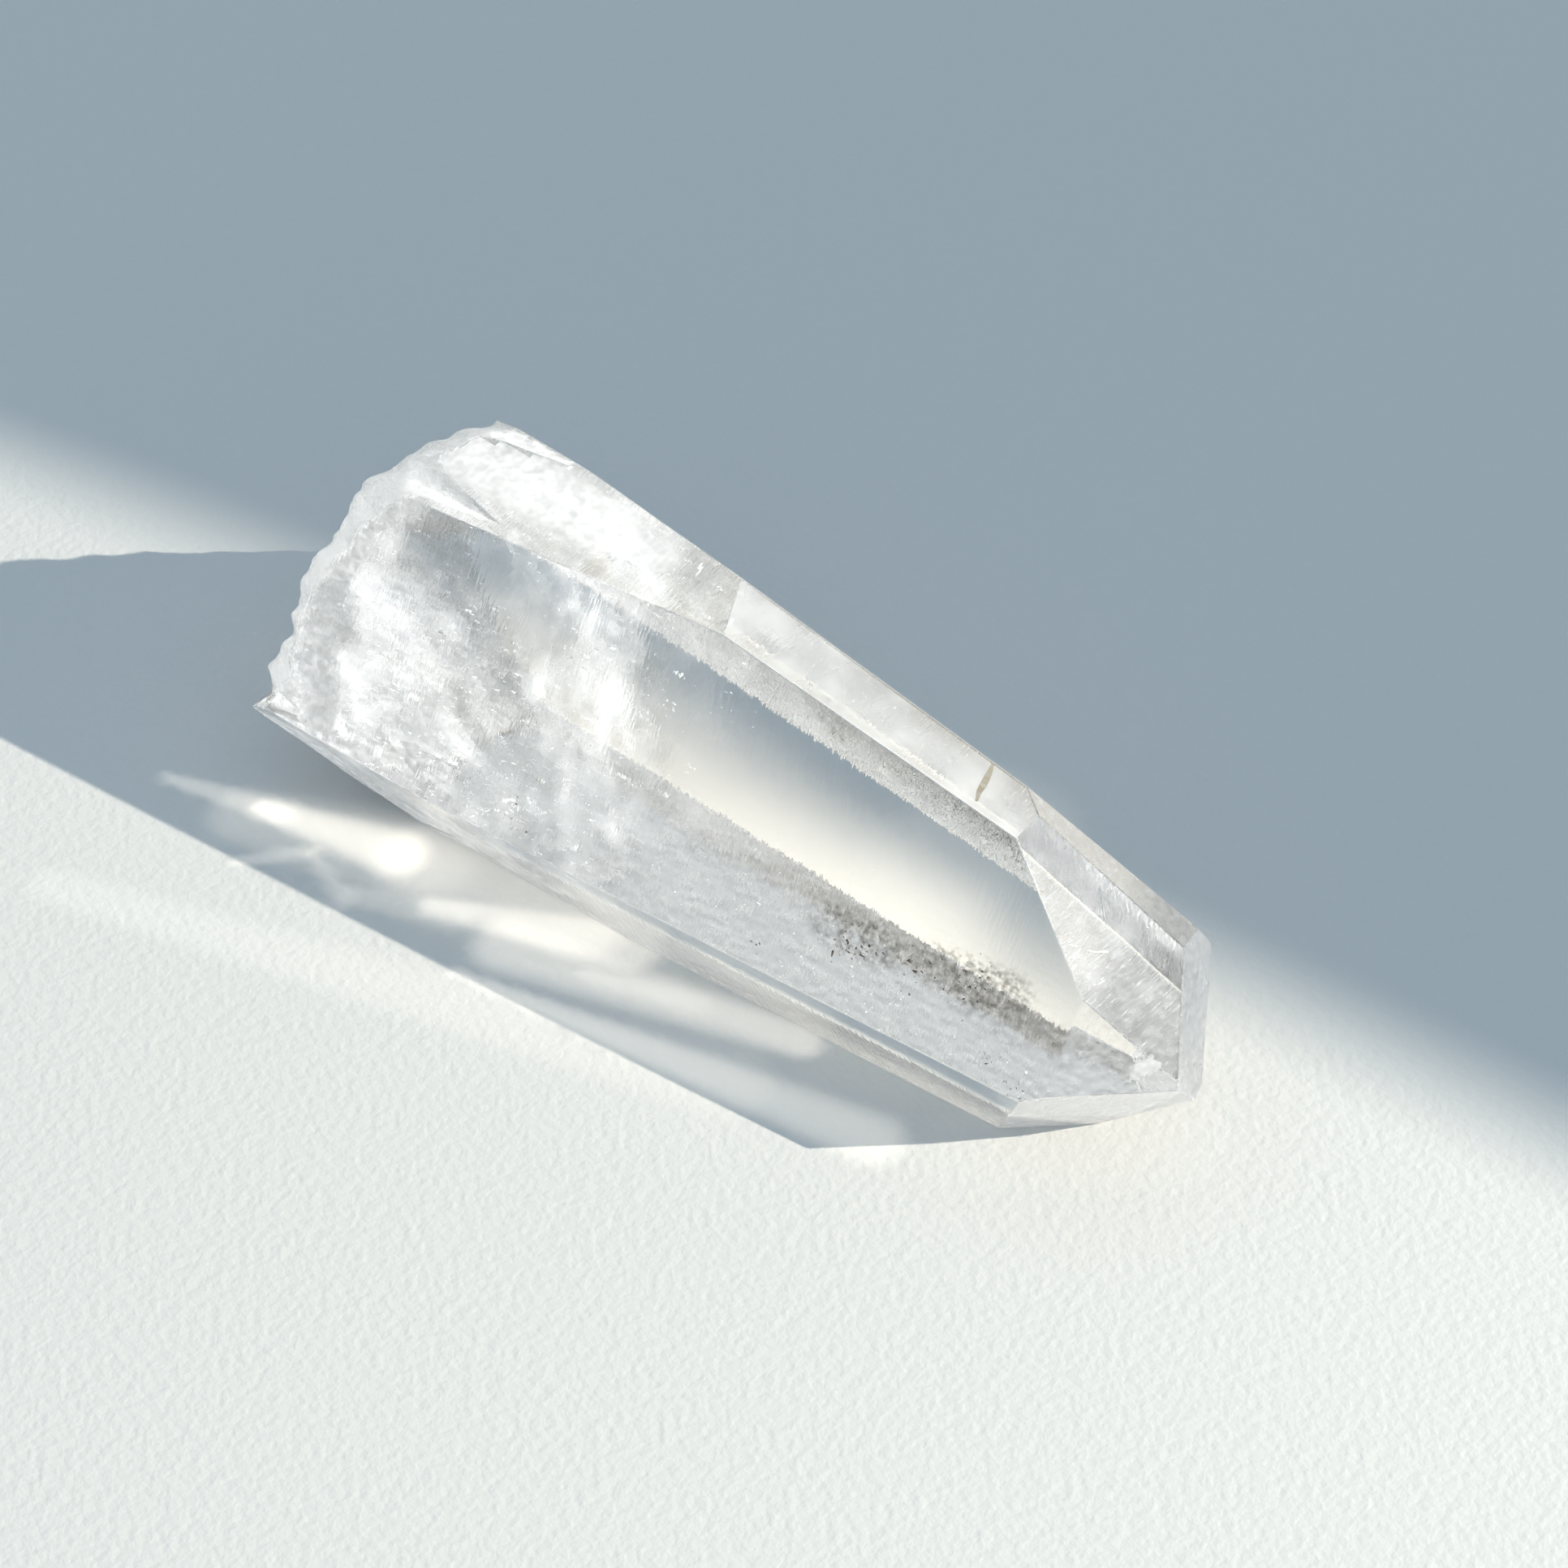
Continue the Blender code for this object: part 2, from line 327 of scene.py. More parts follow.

# Painted caustic light, the floor's own glow, in and beside the shadow: first and last pixel,
# radius in mm at the first and at the last, share
PAINTED_CAUSTIC_STROKES_PX = (
    (325, 996, 490, 1050, 1.5, 3.4, 1.1),
    (205, 958, 345, 1000, 0.8, 1.9, 0.5),
    (300, 1005, 520, 1060, 4.0, 6.0, 0.35),
    (290, 1062, 385, 1048, 0.8, 1.1, 0.35),
    (385, 1050, 425, 1110, 0.9, 1.3, 0.30),
    (430, 1100, 560, 1130, 1.2, 2.4, 0.30),
    (530, 1118, 780, 1165, 1.4, 3.4, 0.75),
    (510, 1060, 720, 1130, 4.5, 5.5, 0.58),
    (620, 1165, 990, 1284, 3.6, 2.2, 0.68),
    (720, 1200, 860, 1236, 1.0, 1.4, 0.25),
    (560, 1198, 1078, 1404, 0.6, 3.4, 0.55),
    (60, 1090, 900, 1335, 2.5, 4.5, 0.16),
    (1180, 1420, 1450, 1405, 5.0, 6.0, 0.06),
)
FLOOR_CELL_MM = 0.8
FLOOR_FINE_MM = 80.0
FLOOR_SIDE_M = 3.0

# Radiance that a share of one of painted caustic glow adds to the floor, as much as the key light does
PAINTED_CAUSTIC_LEVEL = 0.45

# Grain of the floor's paint
FLOOR_GRAIN_MM = 0.9
FLOOR_GRAIN_HEIGHT_MM = 0.14

# How high over the horizon the wall ends and the open shade begins, as the sine of the angle
WALL_TOP = 0.05
SHADE_START = 0.35

# Air film between the floor's grain and the crystal's lowest face
FLOOR_GAP_MM = 0.05


# Settings a user would change
class QuartzCrystalSettings(bpy.types.PropertyGroup):
    edge_wear: FloatProperty(
        name="Edge wear",
        description="Width of the narrow worn band along the crystal's edges",
        default=0.10 * MM, min=0.0, subtype="DISTANCE", unit="LENGTH",
    )
    root_grit: FloatProperty(
        name="Root grit",
        description="Height of the fine grit on the broken root",
        default=0.10 * MM, min=0.0, subtype="DISTANCE", unit="LENGTH",
    )
    glow_colour: StringProperty(
        name="Body colour",
        description="sRGB hex colour that light takes on inside the crystal",
        default="#F7F6F4",
    )


class QuartzVeilSettings(bpy.types.PropertyGroup):
    flake_count: IntProperty(
        name="Flakes",
        description="Number of small healed cracks in the cloudy half",
        default=6500, min=0,
    )
    flake_size: FloatProperty(
        name="Flake size",
        description="Length of a middling healed crack",
        default=0.3 * MM, min=0.0, subtype="DISTANCE", unit="LENGTH",
    )
    veil_wave: FloatProperty(
        name="Veil wave",
        description="Height of the waves in the healing veils",
        default=2.4 * MM, min=0.0, subtype="DISTANCE", unit="LENGTH",
    )
    veil_colour: StringProperty(
        name="Veil colour",
        description="sRGB hex colour of the milky veils",
        default="#F7F9F8",
    )
    stain_colour: StringProperty(
        name="Stain colour",
        description="sRGB hex colour of the iron stain on the top face",
        default="#8F8566",
    )


class QuartzStageSettings(bpy.types.PropertyGroup):
    floor_colour: StringProperty(
        name="Floor colour",
        description="sRGB hex colour of the plain pale floor",
        default="#F2F3F1",
    )
    shade_colour: StringProperty(
        name="Shade colour",
        description="sRGB hex colour of the soft light that fills the shade",
        default="#98AAB9",
    )
    horizon_colour: StringProperty(
        name="Horizon colour",
        description="sRGB hex colour of the dim wall that the crystal's bands mirror",
        default="#ABA79C",
    )
    key_power: FloatProperty(
        name="Key power",
        description="Power of the soft key light in watts",
        default=115.0, min=0.0,
    )
    card_share: FloatProperty(
        name="Card share",
        description="Brightness of the white cards against their usual one",
        default=1.0, min=0.0,
    )


# Colours and materials
def linear(hex_colour):
    """sRGB hex to linear RGBA: c/12.92 in the darks, ((c + 0.055)/1.055)^2.4 above them."""
    text = hex_colour.lstrip("#")
    srgb = np.array([int(text[i:i + 2], 16) for i in (0, 2, 4)]) / 255.0
    value = np.where(srgb <= 0.04045, srgb / 12.92, ((srgb + 0.055) / 1.055) ** 2.4)
    return (*value.tolist(), 1.0)


def new_material(name):
    """A material with only its output node."""
    material = bpy.data.materials.new(name)
    material.use_nodes = True
    tree = material.node_tree
    tree.nodes.clear()
    tree.nodes.new("ShaderNodeOutputMaterial")
    return material, tree


def add(tree, kind, settings=None, **links):
    """Adds one node: settings are its properties, links its inputs as values or sockets."""
    node = tree.nodes.new("ShaderNode" + kind)
    for name, value in (settings or {}).items():
        setattr(node, name, value)
    for name, value in links.items():
        key = int(name[1:]) if name[0] == "i" and name[1:].isdigit() else name.replace("_", " ")
        socket = node.inputs[key]
        if isinstance(value, bpy.types.NodeSocket):
            tree.links.new(value, socket)
        else:
            socket.default_value = value
    return node


def finish_material(tree, surface, volume=None):
    """Joins the surface, and the volume where there is one, to the material's output."""
    output = tree.nodes["Material Output"]
    tree.links.new(surface, output.inputs["Surface"])
    if volume is not None:
        tree.links.new(volume, output.inputs["Volume"])


def clear_quartz_material(settings):
    """Clear quartz with natural growth faces and a conchoidal broken root.

    Growth faces are glassy, with hair-fine striations across the crystal, so what is seen
    through them has a combed fringe.  The broken root is frosty and scatters the light.
    """
    material, tree = new_material("quartz_growth_faces_and_fracture")
    place = add(tree, "TexCoord").outputs["Object"]

    # Striations lie across the long axis, and only the prism faces carry them in full
    across = 1 / (STRIATION_LENGTH_MM * MM)
    combed = add(tree, "Mapping", Vector=place, Scale=(1 / (STRIATION_GAP_MM * MM), across, across))
    comb = add(tree, "TexNoise", Vector=combed.outputs[0], Scale=1.0, Detail=1.0, Roughness=0.55)
    # Growth hillocks are shallow swells
    swell = add(tree, "TexNoise", Vector=place, Scale=1 / (HILLOCK_WIDTH_MM * MM), Detail=0.0)
    # Grit lies on the broken root alone
    grit = add(tree, "TexNoise", Vector=place, Scale=1 / (GRIT_WIDTH_MM * MM), Detail=1.0, Roughness=0.6)
    broken = add(tree, "Attribute", {"attribute_name": "broken"}).outputs["Fac"]

    prism = add(tree, "Attribute", {"attribute_name": "striated"}).outputs["Fac"]
    combing = add(tree, "Math", {"operation": "MULTIPLY"}, i0=comb.outputs[0], i1=prism)
    comb_bump = add(tree, "Bump", Strength=1.0, Distance=STRIATION_HEIGHT_MM * MM, Height=combing.outputs[0])
    swell_bump = add(
        tree, "Bump", Strength=0.5, Distance=HILLOCK_HEIGHT_MM * MM, Height=swell.outputs[0],
        Normal=comb_bump.outputs[0],
    )
    grit_height = add(tree, "Math", {"operation": "MULTIPLY"}, i0=grit.outputs[0], i1=broken)
    grit_bump = add(
        tree, "Bump", Strength=1.0, Distance=GRIT_HEIGHT_MM * MM, Height=grit_height.outputs[0],
        Normal=swell_bump.outputs[0],
    )
    rough = add(tree, "MapRange", Value=broken, To_Min=FACE_ROUGHNESS, To_Max=ROOT_ROUGHNESS)
    shader = add(
        tree, "BsdfPrincipled",
        Base_Color=(1.0, 1.0, 1.0, 1.0), Metallic=0.0, IOR=QUARTZ_IOR,
        Transmission_Weight=1.0, Roughness=rough.outputs[0], Normal=grit_bump.outputs[0],
    )
    body = add(tree, "VolumeAbsorption", Color=linear(settings.glow_colour), Density=ABSORPTION_PER_M)
    finish_material(tree, shader.outputs[0], body.outputs[0])
    return material


def flake_material(colour, name):
    """Tiny flat cracks inside the crystal: they catch the light unevenly, so some look
    duller than others."""
    material, tree = new_material(name)
    place = add(tree, "TexCoord").outputs["Object"]
    lot = add(tree, "TexNoise", Vector=place, Scale=1 / (FLAKE_PATCH_MM * MM), Detail=1.0, Roughness=0.5)
    tint = linear(colour)
    duller = (*(DULLER_SHARE * part for part in tint[:3]), 1.0)
    shade = add(tree, "MixRGB", Fac=lot.outputs[0], Color1=tint, Color2=duller)
    shader = add(
        tree, "BsdfPrincipled",
        Base_Color=shade.outputs[0], Metallic=0.0, Roughness=0.3, IOR=FLUID_IOR,
    )
    finish_material(tree, shader.outputs[0])
    return material


def milky_veil_material(colour, name, thin, thick, patch_mm, fades=False):
    """Healed crack: a skin of tiny fluid bubbles, milky where they crowd, clear between. The
    same skin also paints highlights, reflections, sheen and shade just under some faces.

    A skin that fades is thin near the root and reaches its full cover along the crystal."""
    material, tree = new_material(name)
    place = add(tree, "TexCoord").outputs["Object"]
    patch = add(tree, "TexNoise", Vector=place, Scale=1 / (patch_mm * MM), Detail=1.0, Roughness=0.65)
    cover = add(
        tree, "MapRange", Value=patch.outputs[0],
        From_Min=CLEAR_BELOW, From_Max=CROWDED_ABOVE, To_Min=thin, To_Max=thick,
    )
    milk = add(tree, "Attribute", {"attribute_name": "milk"}).outputs["Fac"]
    cover = add(tree, "Math", {"operation": "MULTIPLY"}, i0=cover.outputs[0], i1=milk)
    if fades:
        along = add(tree, "SeparateXYZ", Vector=place).outputs["X"]
        fade = add(
            tree, "MapRange", Value=along, From_Min=HAZE_START_MM * MM, From_Max=HAZE_FULL_MM * MM,
        )
        cover = add(tree, "Math", {"operation": "MULTIPLY"}, i0=cover.outputs[0], i1=fade.outputs[0])
    shader = add(
        tree, "BsdfPrincipled",
        Base_Color=linear(colour), Metallic=0.0, Roughness=0.35, IOR=FLUID_IOR,
        Alpha=cover.outputs[0],
    )
    finish_material(tree, shader.outputs[0])
    return material


# Geometry helpers
def node_triangles(name):
    """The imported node's triangles as an array (n, 3 corners, 3)."""
    mesh = bpy.data.objects[name].data
    points = np.empty(len(mesh.vertices) * 3)
    mesh.vertices.foreach_get("co", points)
    mesh.calc_loop_triangles()
    corners = np.empty(len(mesh.loop_triangles) * 3, dtype=np.int64)
    mesh.loop_triangles.foreach_get("vertices", corners)
    return points.reshape(-1, 3)[corners.reshape(-1, 3)]


def growth_planes(triangles):
    """Planes (normal, distance) of the flat growth faces.

    Coplanar triangles have the same unit normal n = (b-a)x(c-a)/|..| and the same
    distance d = n.a; a growth face is such a set with more than the least area.
    """
    a, b, c = triangles[:, 0], triangles[:, 1], triangles[:, 2]
    cross = np.cross(b - a, c - a)
    area = np.linalg.norm(cross, axis=1) / 2.0
    kept = area > 1e-12
    normal = cross[kept] / (2.0 * area[kept, None])
    area = area[kept]
    distance = np.einsum("ij,ij->i", normal, a[kept])
    planes = []
    left = np.ones(len(area), dtype=bool)
    for _ in range(PLANE_TRIES):
        seed = int(np.argmax(np.where(left, area, 0.0)))
        same = normal @ normal[seed] > SAME_NORMAL
        same &= np.abs(distance - distance[seed]) < SAME_PLANE_MM * MM
        same &= left
        if area[same].sum() > GROWTH_FACE_MM2 * MM * MM:
            planes.append((*normal[seed], distance[seed]))
        left &= ~same
    return np.array(planes)


def convex_solid(planes):
    """Corners and faces of the solid inside all planes n.x <= d.

    Each three planes meet in one point, n1.x = d1, n2.x = d2, n3.x = d3; the points that
    lie inside all planes are corners, and round each face they are ordered by angle.
    """
    triples = np.array(list(itertools.combinations(range(len(planes)), 3)))
    systems = planes[triples, :3]
    solvable = np.abs(np.linalg.det(systems)) > 1e-7
    points = np.linalg.solve(systems[solvable], planes[triples[solvable], 3][..., None])[..., 0]
    inside = (points @ planes[:, :3].T <= planes[:, 3] + 1e-8).all(axis=1)
    corners = np.unique(np.round(points[inside], 8), axis=0)
    faces = []
    for plane in planes:
        on_face = np.flatnonzero(np.abs(corners @ plane[:3] - plane[3]) < 5e-8)
        if len(on_face) < 3:
            continue
        normal = plane[:3]
        spoke = corners[on_face] - corners[on_face].mean(axis=0)
        side = spoke[0] / np.linalg.norm(spoke[0])
        angle = np.arctan2(spoke @ np.cross(normal, side), spoke @ side)
        faces.append(on_face[np.argsort(angle)].tolist())
    return corners, faces


def lattice_noise(points, size, seed):
    """Smooth noise in -1..1: random values on a lattice of the given size, blended
    between its eight corners with the fade 3t^2 - 2t^3."""
    rng = np.random.default_rng(seed)
    table = rng.uniform(-1.0, 1.0, 4096)
    place = np.asarray(points) / size
    base = np.floor(place).astype(np.int64)
    t = place - base
    t = t * t * (3.0 - 2.0 * t)
    value = np.zeros(place.shape[:-1])
    primes = np.array([73856093, 19349663, 83492791])
    for corner in itertools.product((0, 1), repeat=place.shape[-1]):
        cell = base + np.array(corner)
        key = np.bitwise_xor.reduce(cell * primes[: place.shape[-1]], axis=-1) % 4096
        weight = np.prod(np.where(np.array(corner) == 1, t, 1.0 - t), axis=-1)
        value += weight * table[key]
    return value


def mesh_object(name, points, faces):
    """A new object at the origin from an array of points and a list or array of faces."""
    mesh = bpy.data.meshes.new(name)
    mesh.from_pydata(np.asarray(points).tolist(), [], np.asarray(faces).tolist()
                     if isinstance(faces, np.ndarray) else faces)
    mesh.update()
    made = bpy.data.objects.new(name, mesh)
    bpy.context.scene.collection.objects.link(made)
    return made


def grid_faces(rows, columns):
    """Quads of a grid of rows x columns points: (i,j), (i+1,j), (i+1,j+1), (i,j+1)."""
    i, j = np.meshgrid(np.arange(rows - 1), np.arange(columns - 1), indexing="ij")
    first = (i * columns + j).ravel()
    return np.stack([first, first + columns, first + columns + 1, first + 1], axis=1)


def apply_modifiers(target):
    """Works out the object's modifiers into its own mesh."""
    depsgraph = bpy.context.evaluated_depsgraph_get()
    data = bpy.data.meshes.new_from_object(target.evaluated_get(depsgraph))
    target.modifiers.clear()
    target.data = data


# Pieces
def root_heights(triangles, planes, cell):
    """The broken root as x over a grid of y and z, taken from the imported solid.

    Corner points of the root's triangles are averaged into grid cells, and empty cells
    take the mean of their filled neighbours, ring by ring.
    """
    points = triangles.reshape(-1, 3)
    depth = (planes[:, 3] - points @ planes[:, :3].T).min(axis=1)
    root = points[(depth > 0.03 * MM) & (points[:, 0] < -0.2 * np.ptp(points[:, 0]))]
    low = points[:, 1:].min(axis=0) - 2.0 * MM
    high = points[:, 1:].max(axis=0) + 2.0 * MM
    shape = np.ceil((high - low) / cell).astype(int) + 1
    index = np.round((root[:, 1:] - low) / cell).astype(int)
    total = np.zeros(shape)
    count = np.zeros(shape)
    np.add.at(total, (index[:, 0], index[:, 1]), root[:, 0])
    np.add.at(count, (index[:, 0], index[:, 1]), 1.0)
    for _ in range(int(shape.max())):
        if count.all():
            break
        near = np.zeros(shape)
        seen = np.zeros(shape)
        mean = np.where(count > 0, total / np.maximum(count, 1.0), 0.0)
        known = (count > 0).astype(float)
        padded_mean = np.pad(mean * known, 1)
        padded_known = np.pad(known, 1)
        for di, dj in ((0, 1), (2, 1), (1, 0), (1, 2), (0, 0), (2, 2), (0, 2), (2, 0)):
            near += padded_mean[di:di + shape[0], dj:dj + shape[1]]
            seen += padded_known[di:di + shape[0], dj:dj + shape[1]]
        grown = (count == 0) & (seen > 0)
        total = np.where(grown, near / np.maximum(seen, 1.0), total)
        count = np.where(grown, 1.0, count)
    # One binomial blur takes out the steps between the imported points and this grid
    padded = np.pad(total / count, 1, mode="edge")
    rows = 0.25 * padded[:-2] + 0.5 * padded[1:-1] + 0.25 * padded[2:]
    return low, 0.25 * rows[:, :-2] + 0.5 * rows[:, 1:-1] + 0.25 * rows[:, 2:]


def root_surface(low, heights, steps, grit_height):
    """The broken root's surface x(y, z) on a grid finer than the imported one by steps.

    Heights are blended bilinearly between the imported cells, and three sizes of ripples
    are added, x + sum of share x grit height x noise: shells, chips and grit."""
    fine = ROOT_CELL_MM * MM / steps
    rows = (heights.shape[0] - 1) * steps + 1
    columns = (heights.shape[1] - 1) * steps + 1
    i = np.arange(rows) / steps
    j = np.arange(columns) / steps
    i0 = np.minimum(i.astype(int), heights.shape[0] - 2)
    j0 = np.minimum(j.astype(int), heights.shape[1] - 2)
    ti = (i - i0)[:, None]
    tj = (j - j0)[None, :]
    x = (
        heights[np.ix_(i0, j0)] * (1 - ti) * (1 - tj)
        + heights[np.ix_(i0 + 1, j0)] * ti * (1 - tj)
        + heights[np.ix_(i0, j0 + 1)] * (1 - ti) * tj
        + heights[np.ix_(i0 + 1, j0 + 1)] * ti * tj
    )
    y = low[0] + np.arange(rows)[:, None] * fine + np.zeros((1, columns))
    z = low[1] + np.arange(columns)[None, :] * fine + np.zeros((rows, 1))
    flat = np.stack([y, z], axis=-1)
    for number, (width_mm, share) in enumerate(ROOT_RIPPLES):
        x = x + share * grit_height * lattice_noise(flat, width_mm * MM, 10 + number)
    return x, y, z


def fracture_block(triangles, planes, grit_height):
    """Closed block behind the broken root.

    Its front is x(y, z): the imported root's heights, blended bilinearly to a grid four
    times finer, plus fine ripples and grit.
    """
    low, heights = root_heights(triangles, planes, ROOT_CELL_MM * MM)
    x, y, z = root_surface(low, heights, 4, grit_height)
    rows, columns = x.shape
    front = np.stack([x, y, z], axis=-1).reshape(-1, 3)
    back_x = x.min() - BLOCK_DEPTH_MM * MM
    back = np.array([
        [back_x, y[0, 0], z[0, 0]], [back_x, y[-1, 0], z[-1, 0]],
        [back_x, y[-1, -1], z[-1, -1]], [back_x, y[0, -1], z[0, -1]],
    ])
    number = np.arange(rows * columns).reshape(rows, columns)
    start = rows * columns
    walls = [
        [start, *number[:, 0].tolist(), start + 1],
        [start + 1, *number[-1, :].tolist(), start + 2],
        [start + 2, *number[::-1, -1].tolist(), start + 3],
        [start + 3, *number[0, ::-1].tolist(), start],
        [start, start + 1, start + 2, start + 3],
    ]
    faces = grid_faces(rows, columns).tolist() + walls
    block = mesh_object("fracture_block", np.vstack([front, back]), faces)
    bm = bmesh.new()
    bm.from_mesh(block.data)
    bmesh.ops.recalc_face_normals(bm, faces=bm.faces[:])
    bm.to_mesh(block.data)
    bm.free()
    return block


def make_crystal(settings):
    """The crystal's visible body, cut from its growth planes and its broken root."""
    triangles = node_triangles(NODE)
    planes = growth_planes(triangles)
    back_cap = np.array([-1.0, 0.0, 0.0, -(CAD_BOX[0][0] - BODY_PAST_ROOT_MM * MM)])
    corners, faces = convex_solid(np.vstack([planes, back_cap]))
    crystal = mesh_object("crystal_body", corners, faces)
    bevel = crystal.modifiers.new("worn edges", "BEVEL")
    bevel.width = settings.edge_wear
    bevel.segments = 2
    bevel.limit_method = "ANGLE"
    bevel.angle_limit = math.radians(BEVEL_ANGLE_DEG)
    apply_modifiers(crystal)
    block = fracture_block(triangles, planes, settings.root_grit)
    cut = crystal.modifiers.new("broken root", "BOOLEAN")
    cut.operation = "DIFFERENCE"
    cut.solver = "EXACT"
    cut.object = block
    apply_modifiers(crystal)
    bpy.data.objects.remove(block, do_unlink=True)

    mesh = crystal.data
    points = np.empty(len(mesh.vertices) * 3)
    mesh.vertices.foreach_get("co", points)
    points = points.reshape(-1, 3)
    depth = (planes[:, 3] - points @ planes[:, :3].T).min(axis=1)
    broken = (depth > 1.2 * settings.edge_wear).astype(np.float32)
    attribute = mesh.attributes.new("broken", "FLOAT", "POINT")
    attribute.data.foreach_set("value", broken)
    normals = np.empty(len(mesh.polygons) * 3)
    mesh.polygons.foreach_get("normal", normals)
    lean = np.abs(normals.reshape(-1, 3) @ ALONG)
    striated = mesh.attributes.new("striated", "FLOAT", "FACE")
    share = np.where(lean < STRIATED_LEAN, 1.0, FAINT_SHARE)
    striated.data.foreach_set("value", share.astype(np.float32))
    mesh.materials.clear()
    mesh.materials.append(clear_quartz_material(settings))
    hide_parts(NODE)
    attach(crystal, BODY)
    return crystal


def camera_axes():
    """The camera's right, up and backward directions from its azimuth a and elevation e.

    Backward is (sin a cos e, -cos a cos e, sin e), right is (cos a, sin a, 0)."""
    azimuth = math.radians(VIEW_AZIMUTH_DEG)
    elevation = math.radians(VIEW_ELEVATION_DEG)
    back = np.array([
        math.sin(azimuth) * math.cos(elevation),
        -math.cos(azimuth) * math.cos(elevation),
        math.sin(elevation),
    ])
    right = np.array([math.cos(azimuth), math.sin(azimuth), 0.0])
    return right, np.cross(back, right), back


def image_ray(x_px, y_px):
    """Start and direction of the camera's ray through a pixel of the 1932 pixel image."""
    right, up, back = camera_axes()
    start = np.array(VIEW_TARGET_MM) * MM + back * VIEW_DISTANCE_MM * MM
    half = IMAGE_SIDE_PX / 2.0
    run = right * (x_px - half) / FOCAL_PX - up * (y_px - half) / FOCAL_PX - back
    return start, run / np.linalg.norm(run)


def floor_point(x_px, y_px):
    """The place on the floor that shows at a pixel."""
    start, run = image_ray(x_px, y_px)
    return start - run * start[2] / run[2]


def seen_through(pixel, plane, depth_mm):
    """The point that shows at a pixel through a growth face, at a depth behind it.

    The ray meets the face at s, bends by Snell's law, and goes on for the depth."""
    start, run = image_ray(*pixel)
    normal, distance = plane[:3], plane[3]
    surface = start + run * (distance - start @ normal) / (run @ normal)
    ratio = 1.0 / QUARTZ_IOR
    cosine = -run @ normal
    bent = ratio * run + (ratio * cosine - math.sqrt(1.0 - ratio**2 * (1.0 - cosine**2))) * normal
    return surface + bent * depth_mm * MM


def face_towards(planes, direction):
    """The growth plane whose normal lies nearest a direction."""
    aim = np.array(direction) / np.linalg.norm(direction)
    return planes[int(np.argmax(planes[:, :3] @ aim))]


def crystal_shape():
    """The growth planes, and the broken root's heights with the grid's low corner."""
    triangles = node_triangles(NODE)
    planes = growth_planes(triangles)
    low, heights = root_heights(triangles, planes, ROOT_CELL_MM * MM)
    return planes, low, heights


def depth_inside(points, shape):
    """How far points lie inside the crystal: the least of d - n.x over the growth faces
    and of x - h(y, z) over the broken root."""
    planes, low, heights = shape
    depth = (planes[:, 3] - points @ planes[:, :3].T).min(axis=-1)
    place = np.round((points[..., 1:] - low) / (ROOT_CELL_MM * MM)).astype(int)
    row = np.clip(place[..., 0], 0, heights.shape[0] - 1)
    column = np.clip(place[..., 1], 0, heights.shape[1] - 1)
    return np.minimum(depth, points[..., 0] - heights[row, column])


def flake_mesh(centres, normals, long_axis, length, width, seed, name):
    """Small curled flakes, each a fan of eight triangles.

    Rim point k is centre + r cos(t) length/2 u + r sin(t) width/2 v + curl w, with
    t = 2 pi k/8 and r drawn between 0.55 and 1; u is the long axis laid in the flake's
    plane, w its normal and v = w x u.
    """
    rng = np.random.default_rng(seed)
    count = len(centres)
    w = normals / np.linalg.norm(normals, axis=1, keepdims=True)
    u = long_axis - np.einsum("ij,ij->i", long_axis, w)[:, None] * w
    u /= np.linalg.norm(u, axis=1, keepdims=True)
    v = np.cross(w, u)
    t = np.arange(8) / 8.0 * 2.0 * np.pi
    r = rng.uniform(0.55, 1.0, (count, 8))
    along = (r * np.cos(t))[..., None] * (length / 2.0)[:, None, None] * u[:, None, :]
    across = (r * np.sin(t))[..., None] * (width / 2.0)[:, None, None] * v[:, None, :]
    curl = rng.uniform(-0.08, 0.08, (count, 8))[..., None] * length[:, None, None] * w[:, None, :]
    rim = centres[:, None, :] + along + across + curl
    points = np.concatenate([centres[:, None, :], rim], axis=1).reshape(-1, 3)
    first = (np.arange(count) * 9)[:, None]
    k = np.arange(8)[None, :]
    fan = np.stack([first + 0 * k, first + 1 + k, first + 1 + (k + 1) % 8], axis=-1)
    return mesh_object(name, points, fan.reshape(-1, 3))


def scattered(rng, shape, box_low, box_high, count, weight, margin):
    """Random points in a box, kept inside the crystal by a margin and by a weight 0..1."""
    low, high = np.array(box_low), np.array(box_high)
    tries = rng.uniform(low, high, (count * 20, 3))
    kept = depth_inside(tries, shape) > margin
    kept &= rng.uniform(size=len(tries)) < weight(tries)
    return tries[kept][:count]


def ride_and_slot(piece, material):
    """Gives an inner piece its material and its body."""
    piece.data.materials.append(material)
    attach(piece, BODY)
    return piece


def milkiness(points, planes):
    """Density of the milky cloud, 0 to 1: it thins out towards the point, has lumps of
    5 and 1.6 millimetres, and is clear along the sight lines of some pixels."""
    reach = np.clip((CLOUD_END_MM * MM - points[..., 0]) / (CLOUD_FADE_MM * MM), 0.0, 1.0)
    lumps = 0.6 + 0.4 * lattice_noise(points, 5.0 * MM, 5)
    lumps = lumps * (0.7 + 0.3 * lattice_noise(points, 1.6 * MM, 6))
    broad = face_towards(planes, BROAD_SIDE)
    milk = reach * np.clip(lumps * 1.7, 0.0, 1.0)
    for x_px, y_px, radius_mm, share in CLEAR_LINES:
        start = seen_through((x_px, y_px), broad, 0.0)
        run = (seen_through((x_px, y_px), broad, 1.0) - start) / MM
        spoke = points - start
        away = np.linalg.norm(spoke - (spoke @ run)[..., None] * run, axis=-1)
        milk = milk * (1.0 - share * np.exp(-((away / (radius_mm * MM)) ** 2)))
    return milk


